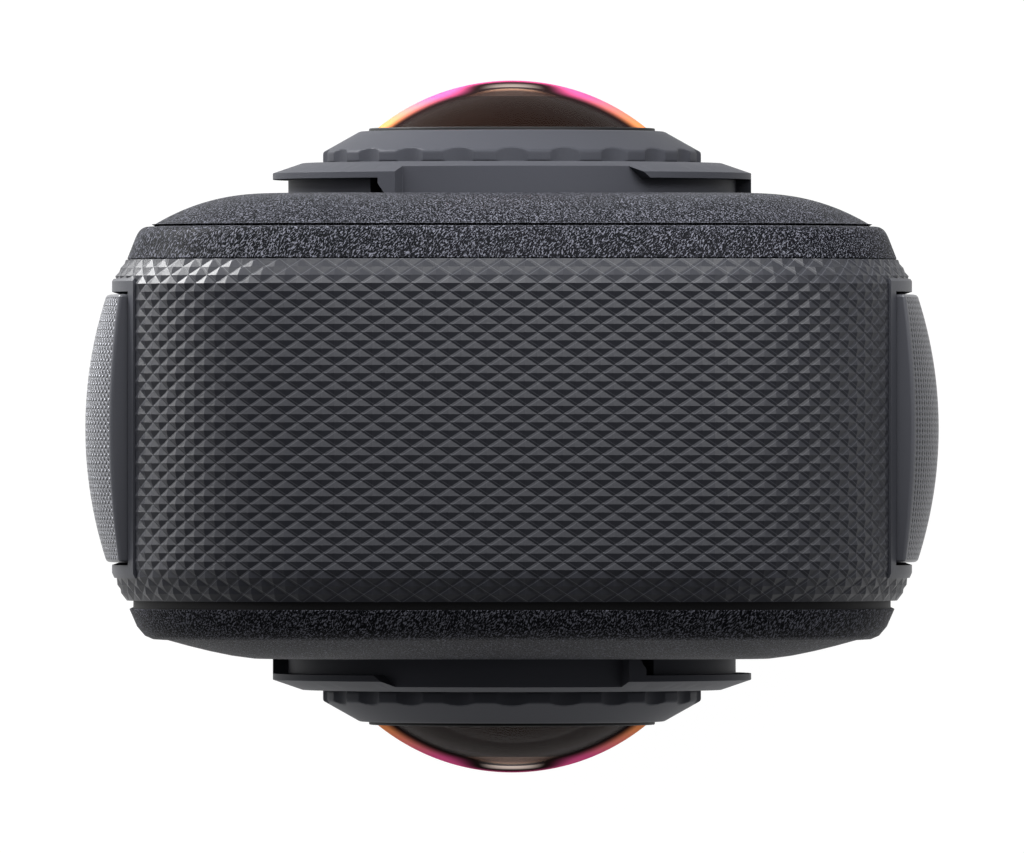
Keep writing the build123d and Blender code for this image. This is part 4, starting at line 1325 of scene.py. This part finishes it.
@dataclass
class WindGuards(Assembly):
    """The crowned mesh plates in both sides, bent over the top corners."""

    low_z: float = GUARD_LOW_Z
    half_depth: float = GUARD_HALF_DEPTH
    centre_y: float = GUARD_MIDDLE_Y
    bend_deg: float = GUARD_BEND_DEG
    floor_inset: float = 1.1
    edge_stand: float = 0.28
    crown_stand: float = 1.44
    end_edge: float = 0.42
    end_crown: float = 0.92
    end_power: float = 1.5
    hollow_inset: float = 0.05
    rim: float = 1.3
    edge_soft: float = 0.16
    edge_soft_steps: int = 3
    edge_deg: float = 50.0
    steps_along: int = 64
    steps_across: int = 48

    def plate(self, sign: int, name: str) -> bpy.types.Object:
        """One plate.

        Its outer face stands off the body's side by an arc's height across the depth, and the
        whole face bends round the top corner's centre. Round the bend the arc grows flatter. The
        inner face is hollow inside its rim.

        Args:
            sign: 1 for the right side and -1 for the left.
            name: the object's name.

        Returns:
            The plate.
        """
        corner_x = FORM.half_width - FORM.top_radius
        corner_z = FORM.height - FORM.top_radius
        straight = corner_z - self.low_z
        length = straight + FORM.top_radius * math.radians(self.bend_deg)
        along, across = np.meshgrid(
            np.linspace(0, length, self.steps_along),
            np.linspace(-self.half_depth, self.half_depth, self.steps_across),
            indexing="ij",
        )
        rise = self.crown_stand - self.edge_stand
        ball = (self.half_depth**2 + rise**2) / (2 * rise)
        crown = 1 - (across / self.half_depth) ** 2
        stand = self.edge_stand + rise - (ball - np.sqrt(ball**2 - across**2))
        share = np.clip((along - straight) / (length - straight), 0, 1) ** self.end_power
        stand = stand + share * (self.end_edge + (self.end_crown - self.end_edge) * crown - stand)
        angle = np.maximum(along - straight, 0) / FORM.top_radius
        foot_z = self.low_z + np.minimum(along, straight)
        to_side = self.half_depth - np.abs(across)
        near_edge = np.minimum(np.minimum(along, length - along), to_side)
        deep = np.where(near_edge < self.rim, self.floor_inset, self.hollow_inset)

        def surface(reach: Array) -> Array:
            """The places of one face.

            Args:
                reach: each point's distance from the corner's centre line.

            Returns:
                A grid of places.
            """
            x = sign * (corner_x + reach * np.cos(angle))
            z = foot_z + reach * np.sin(angle)
            return np.stack([x, across + self.centre_y, z], -1)

        outer, inner = surface(FORM.top_radius + stand), surface(FORM.top_radius - deep)
        piece = slab_between(name, outer, inner)
        write_map(piece, np.concatenate([across, across]), np.concatenate([along, along]))
        return soften(tidy(piece), self.edge_soft, self.edge_soft_steps, self.edge_deg)

    def lay_mesh(self, piece: bpy.types.Object, mesh_finish: Finish) -> None:
        """Gives the outer face its mesh, and leaves the walls and the inner face smooth.

        The outer face's cells are the first ones of the grid, so they are told by their number.

        Args:
            piece: the plate.
            mesh_finish: the outer face's finish.
        """
        piece.data.materials.append(mesh_finish.build())
        outer = (self.steps_along - 1) * (self.steps_across - 1)
        slots = np.zeros(len(piece.data.polygons), np.int32)
        slots[:outer] = 1
        piece.data.polygons.foreach_set("material_index", slots)
        piece.modifiers["soft_edges"].material = 0

    def build(self) -> None:
        """Makes both plates, and finishes the foam and microphones behind them."""
        for sign, label, mesh_finish in ((1, "right", RIGHT_MESH), (-1, "left", LEFT_MESH)):
            piece = self.plate(sign, label + "_guard")
            self.seat(piece, Body.HOUSING, GUARD_RIM, label + "_wind_guard")
            self.lay_mesh(piece, mesh_finish)
        self.keep(FOAM, "wind_foams")
        self.keep(ALLOY, "microphones")


@dataclass
class LensSide(Assembly):
    """One lens with its bayonet flange, fluted ring, dome, mask and inner element."""

    side: Side = Side.REAR
    flange_top: float = 14.3
    ring_radius: float = 10.27
    ring_skirt: float = 0.6
    ring_round: float = 0.12
    ring_step: float = 0.12
    nose_radius: float = 8.26
    nose: float = 16.03
    spigot_radius: float = 9.0
    spigot_low: float = 12.2
    throat_radius: float = 6.6
    seal_radius: float = 7.77
    seal_top: float = 16.2
    seal_round: float = 0.08
    shoulder: float = 15.3
    dome_edge: float = 7.32
    dome_ball: float = 11.6
    dome_wall: float = 0.35
    dome_steps: int = 40
    cell_gap: float = 0.1
    cell_low: float = 12.4
    cell_bore: float = 5.2
    cell_web: float = 1.1
    cell_steps: int = 30
    pupil_radius: float = 3.1
    mouth_radius: float = 2.9
    mouth_depth: float = 0.9
    inner_radius: float = 3.4
    inner_edge: float = 1.7
    inner_ball: float = 8.6
    inner_play: float = 0.05
    inner_sink: float = 0.02
    inner_steps: int = 24
    flute_count: int = 22
    first_flute_deg: float = 90.0
    flute_radius: float = 1.6
    flute_depth: float = 0.27
    flute_below: float = 0.05
    flute_outside: float = 0.3
    mount_soft: float = 0.05
    segments: int = 528

    @property
    def ball_middle(self) -> float:
        """Where the dome's centre lies along the lens axis."""
        return self.seal_top - math.sqrt(self.dome_ball**2 - self.dome_edge**2)

    @property
    def mask_ball(self) -> float:
        """The radius of the mask's ball-shaped face, a gap inside the dome's inner face."""
        return self.dome_ball - self.dome_wall - self.cell_gap

    @property
    def mask_seat(self) -> float:
        """Where the inner element's seat lies, at the foot of the mask's mouth."""
        mouth = self.arc(self.mask_ball, self.pupil_radius, self.pupil_radius, 1)
        return mouth[0, 1] - self.mouth_depth

    @property
    def turns(self) -> Array:
        """The even turns about the lens axis, as angles."""
        return np.linspace(0, 2 * math.pi, self.segments, endpoint=False)

    def arc(self, ball: float, start: float, end: float, steps: int) -> Array:
        """Points on a ball about the dome's centre.

        Args:
            ball: the ball's radius.
            start: the first point's distance from the axis.
            end: the last point's distance from the axis.
            steps: the number of points.

        Returns:
            Rows of distance from the axis and place along it.
        """
        turn = np.linspace(math.asin(start / ball), math.asin(end / ball), steps)
        return np.stack([ball * np.sin(turn), self.ball_middle + ball * np.cos(turn)], -1)

    def turned(self, form: str, node: str, finish: Finish, radius: Array, along: Array) -> None:
        """Turns a profile about the lens axis, and seats the piece on the lens's body.

        X and Z are the distance from the axis times the turn's cosine and sine. The last row
        joins the first, unless both lie on the axis, where they close in poles.

        Args:
            form: the word for the piece in its own name.
            node: the rest of its CAD node's name.
            finish: its finish.
            radius: the distance from the axis, one value or one row of values for each point.
            along: each point's place along the axis.
        """
        shape = (len(radius), self.segments)
        radius = np.broadcast_to(radius.reshape(len(radius), -1), shape)
        along = np.broadcast_to(along[:, None], shape)
        x = -self.side.value * radius * np.cos(self.turns)
        z = FORM.lens_z + radius * np.sin(self.turns)
        points = np.stack([x, self.side.value * along, z], -1)
        on_axis = bool(max(radius[0].max(), radius[-1].max()) < NOTHING)
        faces = grid_faces(*shape, not on_axis, True)
        piece = tidy(mesh_object(f"{self.side.label}_{form}_form", points, faces))
        self.seat(piece, self.side.body, finish, f"{self.side.label}_{node}")

    def ring(self) -> None:
        """The fluted ring. Each flute is a round cutter's near side, so the radius there is the
        smaller of the ring's own and the cutter's."""
        corners = [
            (self.throat_radius, self.spigot_low),
            (self.spigot_radius, self.spigot_low),
            (self.spigot_radius, self.flange_top),
            (self.ring_radius, self.flange_top),
            (self.ring_radius, self.flange_top + self.ring_skirt),
            (self.nose_radius, self.nose),
            (self.seal_radius, self.nose),
            (self.seal_radius, self.shoulder),
            (self.throat_radius, self.shoulder),
        ]
        radius, along = densified(rounded(corners, self.ring_round), self.ring_step).T
        pitch = 2 * math.pi / self.flute_count
        first = math.radians(self.first_flute_deg)
        off = (self.turns - first + pitch / 2) % pitch - pitch / 2
        path = self.ring_radius - self.flute_depth + self.flute_radius
        inside = np.maximum(self.flute_radius**2 - (path * np.sin(off)) ** 2, 0)
        wall = np.where(inside > 0, path * np.cos(off) - np.sqrt(inside), self.ring_radius)
        high = along > self.flange_top - self.flute_below
        fluted = high & (radius > self.spigot_radius + self.flute_outside)
        radius = radius[:, None]
        radius = np.where(fluted[:, None], np.minimum(radius, wall[None]), radius)
        self.turned("ring", "lens_ring", LENS_METAL, radius, along)

    def dome(self) -> None:
        """The outer element: two balls about one centre, joined by a straight skirt."""
        inner_edge = self.dome_edge - self.dome_wall
        outer = self.arc(self.dome_ball, 0, self.dome_edge, self.dome_steps)
        inner = self.arc(self.dome_ball - self.dome_wall, inner_edge, 0, self.dome_steps)
        skirt = [(self.dome_edge, self.shoulder), (inner_edge, self.shoulder)]
        self.turned("dome", "lens_dome", DOME_GLASS, *np.concatenate([outer, skirt, inner]).T)

    def cell(self) -> None:
        """The mask under the dome: a ball-shaped face that opens in a tapered mouth."""
        cap_radius = self.dome_edge - self.dome_wall - self.cell_gap
        face = self.arc(self.mask_ball, self.pupil_radius, cap_radius, self.cell_steps)
        web = self.mask_seat - self.inner_edge - self.cell_web
        rest = [
            (cap_radius, self.shoulder),
            (self.throat_radius, self.shoulder),
            (self.throat_radius, self.cell_low),
            (self.cell_bore, self.cell_low),
            (self.cell_bore, web),
            (self.inner_radius, web),
            (self.inner_radius, self.mask_seat),
            (self.mouth_radius, self.mask_seat),
        ]
        self.turned("mask", "lens_cell", MASK_PLASTIC, *np.concatenate([face, rest]).T)

    def inner_lens(self) -> None:
        """The small convex element in the mask. Its cap is part of a ball that rises almost to
        the mouth's rim."""
        edge = self.mouth_radius - self.inner_play
        turn = np.linspace(0, math.asin(edge / self.inner_ball), self.inner_steps)
        high = self.mask_seat + self.mouth_depth - self.inner_sink
        middle = high - math.sqrt(self.inner_ball**2 - edge**2)
        cap = np.stack([np.sin(turn), np.cos(turn)], -1) * self.inner_ball + [0, middle]
        low = self.mask_seat - self.inner_edge
        rest = [
            (edge, self.mask_seat), (self.inner_radius, self.mask_seat),
            (self.inner_radius, low), (0, low),
        ]
        self.turned("inner_lens", "inner_lens", INNER_GLASS, *np.concatenate([cap, rest]).T)

    def seal(self) -> None:
        """The black lip between the dome and the ring."""
        corners = [
            (self.dome_edge, self.shoulder),
            (self.seal_radius, self.shoulder),
            (self.seal_radius, self.seal_top),
            (self.dome_edge, self.seal_top),
        ]
        self.turned("seal", "dome_seal", SEAL_RUBBER, *rounded(corners, self.seal_round).T)

    def build(self) -> None:
        """Makes one side's lens pieces."""
        self.ring()
        self.dome()
        self.cell()
        self.inner_lens()
        self.seal()
        mount = self.side.label + "_lens_mount"
        self.refine(mount, Body.HOUSING, LENS_METAL, self.mount_soft)
        self.keep(ALLOY, self.side.label + "_lens_barrel")


@dataclass
class Controls(Assembly):
    """The screen, the four buttons and the status light."""

    screen_soft: float = 0.15
    front_key_soft: float = 0.25
    side_key_soft: float = 0.22
    screen_steps: int = 3
    key_steps: int = 4

    def build(self) -> None:
        """Finishes the controls. Each button's body has its node's name."""
        self.refine(
            "screen_glass", Body.HOUSING, SCREEN_GLASS, self.screen_soft, self.screen_steps
        )
        for width, keys in (
            (self.front_key_soft, (Body.SHUTTER, Body.MODE)),
            (self.side_key_soft, (Body.POWER, Body.QUICK)),
        ):
            for key in keys:
                self.refine(key.value, key, KEY_PLASTIC, width, self.key_steps)
        self.keep(LIGHT_PIPE, "status_light")
        self.keep(SCREEN_GLASS, "display_module")
        self.keep(STEEL, "front_key_domes", "side_key_domes")
        self.keep(BOARD, "front_key_board", "side_key_board")


@dataclass
class Charging(Assembly):
    """The charging door with its hinge, and the socket behind it."""

    door_soft: float = 0.12
    door_steps: int = 3

    def build(self) -> None:
        """Finishes the charging pieces."""
        self.refine("usb_door", Body.DOOR, FRAME_PLASTIC, self.door_soft, self.door_steps)
        self.keep(STEEL, "usb_door_pin", "usb_socket")
        self.keep(SEAL_RUBBER, "usb_door_seal")
        self.keep(BOARD, "usb_board")


@dataclass
class Battery(Assembly):
    """The battery with its cap, latches and seal, and the bay that takes it."""

    case_soft: float = 0.15
    cap_steps: int = 3
    latch_soft: float = 0.08

    def build(self) -> None:
        """Finishes the battery's pieces."""
        self.refine("battery_cap", Body.BATTERY, FRAME_PLASTIC, self.case_soft, self.cap_steps)
        self.refine("upper_battery_latch", Body.UPPER_LATCH, LATCH_PLASTIC, self.latch_soft)
        self.refine("lower_battery_latch", Body.LOWER_LATCH, LATCH_PLASTIC, self.latch_soft)
        self.refine("battery_pack", Body.BATTERY, BATTERY_WRAP, self.case_soft)
        self.keep(SEAL_RUBBER, "battery_seal")
        self.keep(BATTERY_WRAP, "battery_bay")
        self.keep(BRASS, "battery_contacts")
        self.keep(ALLOY, "card_socket")


@dataclass
class Insides(Assembly):
    """The boards and metalwork inside, and the base insert with its thread."""

    insert_radius: float = 4.8
    insert_low: float = 0.3
    insert_high: float = 6.3
    thread_length: float = 5.5
    thread_radius: float = 3.175
    thread_pitch: float = 1.27
    thread_depth: float = 0.6
    thread_run_out: float = 0.5
    thread_steps: int = 80
    thread_sharp_deg: float = 25.0
    segments: int = 96

    def insert(self) -> None:
        """The threaded insert. The bore's radius falls and rises once for each pitch along the
        bore, and the phase turns once with the angle, which makes a helix."""
        angle = np.linspace(0, 2 * math.pi, self.segments, endpoint=False)
        high = self.insert_low + self.thread_length
        z = np.linspace(self.insert_low, high, self.thread_steps)
        phase = (z[:, None] / self.thread_pitch - angle[None] / (2 * math.pi)) % 1.0
        to_end = np.minimum(z - self.insert_low, high - z) / self.thread_run_out
        cut = self.thread_depth * np.clip(to_end, 0, 1)[:, None]
        bore = self.thread_radius - cut * (1 - np.abs(2 * phase - 1))
        ends = [
            (0.0, self.insert_high),
            (self.insert_radius, self.insert_high),
            (self.insert_radius, self.insert_low),
        ]
        outside = np.repeat(np.array(ends)[:, None], self.segments, 1)
        inside = np.stack([bore, np.broadcast_to(z[:, None], bore.shape)], -1)
        pole = np.full((1, self.segments, 2), (0.0, high))
        radius, height = np.moveaxis(np.concatenate([outside, inside, pole]), -1, 0)
        points = np.stack([radius * np.cos(angle), radius * np.sin(angle), height], -1)
        faces = grid_faces(*radius.shape, False, True)
        piece = tidy(mesh_object("thread_insert", points, faces), self.thread_sharp_deg)
        self.seat(piece, Body.HOUSING, BRASS, "tripod_insert")

    def build(self) -> None:
        """Makes the insert and finishes what is inside."""
        self.insert()
        self.keep(STEEL, "rear_screws")
        self.keep(ALLOY, "heat_spreader", "shield_cans")
        self.keep(BOARD, "main_board", "sensor_boards")
        self.keep(SCREEN_GLASS, "image_sensors")
        self.keep(MASK_PLASTIC, "speaker")


# The studio


@dataclass(frozen=True)
class SoftPatch:
    """A wide soft light on the far walls: full inside one angle and gone outside another."""

    toward: tuple[float, float, float]
    inner_deg: float
    outer_deg: float
    strength: float


@dataclass(frozen=True)
class SoftBox:
    """A lamp with a wide face: its place and size in millimetres, and the height it points at."""

    name: str
    place: tuple[float, float, float]
    size: tuple[float, float]
    watts: float
    aim_height: float = 90.0

    def build(self) -> None:
        """Makes the lamp and turns its face to the camera body. The tilt is the angle between
        straight down and the way to the aim, and the yaw is that way's, less a quarter turn."""
        light = bpy.data.lights.new(self.name, "AREA")
        light.shape = "RECTANGLE"
        light.size, light.size_y = self.size[0] * MM, self.size[1] * MM
        light.energy = self.watts
        holder = bpy.data.objects.new(self.name, light)
        holder.location = [value * MM for value in self.place]
        way = np.array([0, 0, self.aim_height]) - np.array(self.place)
        yaw = math.atan2(way[1], way[0]) - math.pi / 2
        tilt = math.atan2(math.hypot(way[0], way[1]), -way[2])
        holder.rotation_euler = (tilt, 0, yaw)
        bpy.context.scene.collection.objects.link(holder)


@dataclass
class Studio:
    """The floor, the soft lights and the camera that looks straight down.

    The walls' light changes between two places along Y, and the ceiling's between two heights,
    all of them shares of the way from the object.
    """

    eye_height: float = 1302.0
    focal: float = 776.3
    sensor: float = 36.0
    sight_metres: float = 50.0
    floor_half: float = 6000.0
    paper_glow: float = 1.06
    glow_share: float = 0.93
    ceiling: float = 0.10
    ceiling_from: float = 0.97
    walls_from: float = 0.5
    dark_wall: float = 0.12
    dark_until: float = -0.75
    pale_wall: float = 0.50
    pale_from: float = 0.65
    sky_colour: tuple[float, ...] = (0.98, 0.98, 1.0, 1.0)
    patches: tuple[SoftPatch, ...] = (
        SoftPatch((-0.75, 0.62, 0.22), 12.0, 50.0, 1.8),
        SoftPatch((0.529, 0.34, 0.777), 5.0, 62.0, 0.4),
    )
    lamps: tuple[SoftBox, ...] = (
        SoftBox("key_box", (-180, 640, 780), (900, 500), 0.45),
        SoftBox("near_strip", (6, 46, 150), (110, 24), 0.100, 118.0),
        SoftBox("left_box", (-150, 130, 30), (110, 90), 1.1, 105.0),
        SoftBox("low_fill", (20, -230, 40), (360, 140), 0.20, 100.0),
    )

    def floor(self) -> None:
        """A pale paper floor. It shows nearly white to the camera and in mirrors and glass, and
        keeps the object's shadow."""
        half = self.floor_half
        corners = [(-half, -half, 0), (half, -half, 0), (half, half, 0), (-half, half, 0)]
        floor = mesh_object("floor", np.array(corners), [[0, 1, 2, 3]])
        material = bare_material("matt_white_paper")
        tree = material.node_tree
        paper = add(tree, "BsdfDiffuse", {"Color": linear("#e4e4e4")})
        shine = add(tree, "Emission", {"Color": (1, 1, 1, 1), "Strength": self.paper_glow})
        rays = add(tree, "LightPath")
        seen = rays.outputs["Is Camera Ray"]
        for kind in ("Is Glossy Ray", "Is Transmission Ray"):
            seen = add(tree, "Math", {0: seen, 1: rays.outputs[kind]}, operation="MAXIMUM")
        share = add(tree, "Math", {0: seen, 1: self.glow_share}, operation="MULTIPLY")
        both = add(tree, "MixShader", {0: share, 1: paper, 2: shine})
        add(tree, "OutputMaterial", {"Surface": both})
        floor.data.materials.append(material)

    def world(self) -> None:
        """Pale walls that darken towards the screen side and the ceiling, with soft patches."""
        world = bpy.data.worlds.new("studio")
        bpy.context.scene.world = world
        world.use_nodes = True
        tree = world.node_tree
        tree.nodes.clear()
        way = add(tree, "TexCoord").outputs["Generated"]
        parts = add(tree, "SeparateXYZ", {"Vector": way})
        wall = add(
            tree, "MapRange",
            {
                "Value": parts.outputs["Y"], "From Min": self.dark_until,
                "From Max": self.pale_from, "To Min": self.dark_wall, "To Max": self.pale_wall,
            },
            interpolation_type="SMOOTHSTEP",
        )
        low = add(
            tree, "MapRange",
            {
                "Value": parts.outputs["Z"], "From Min": self.ceiling_from,
                "From Max": self.walls_from,
            },
            interpolation_type="SMOOTHSTEP",
        )
        total = add(tree, "Math", {0: wall, 1: low, 2: self.ceiling}, operation="MULTIPLY_ADD")
        for patch in self.patches:
            toward = np.array(patch.toward) / np.linalg.norm(patch.toward)
            near = add(tree, "VectorMath", {0: way, 1: tuple(toward)}, operation="DOT_PRODUCT")
            share = add(
                tree, "MapRange",
                {
                    "Value": near,
                    "From Min": math.cos(math.radians(patch.outer_deg)),
                    "From Max": math.cos(math.radians(patch.inner_deg)),
                    "To Max": patch.strength,
                },
                interpolation_type="SMOOTHSTEP",
            )
            total = add(tree, "Math", {0: total, 1: share}, operation="ADD")
        sky = add(tree, "Background", {"Color": self.sky_colour, "Strength": total})
        add(tree, "OutputWorld", {"Surface": sky})

    def camera(self) -> None:
        """The camera straight above, with the picture's top towards the back cover."""
        lens = bpy.data.cameras.new("eye")
        lens.lens = self.focal
        lens.sensor_width = self.sensor
        lens.clip_end = self.sight_metres
        eye = bpy.data.objects.new("eye", lens)
        eye.location = (0, 0, self.eye_height * MM)
        bpy.context.scene.collection.objects.link(eye)
        bpy.context.scene.camera = eye

    def build(self) -> None:
        """Sets the stage."""
        bpy.context.scene.view_settings.view_transform = "Standard"
        self.camera()
        self.floor()
        self.world()
        for lamp in self.lamps:
            lamp.build()
        LOG.info("Studio: camera, floor, world and lamps")


def main() -> None:
    """Builds every sub-assembly in order and reports its pieces."""
    logging.basicConfig(level=logging.INFO, format="%(message)s")
    Studio().build()
    for group in (
        Housing(),
        Grip(),
        WindGuards(),
        LensSide(side=Side.REAR),
        LensSide(side=Side.FRONT),
        Controls(),
        Charging(),
        Battery(),
        Insides(),
    ):
        group.build()
        group.report()


if __name__ == "__main__":
    main()
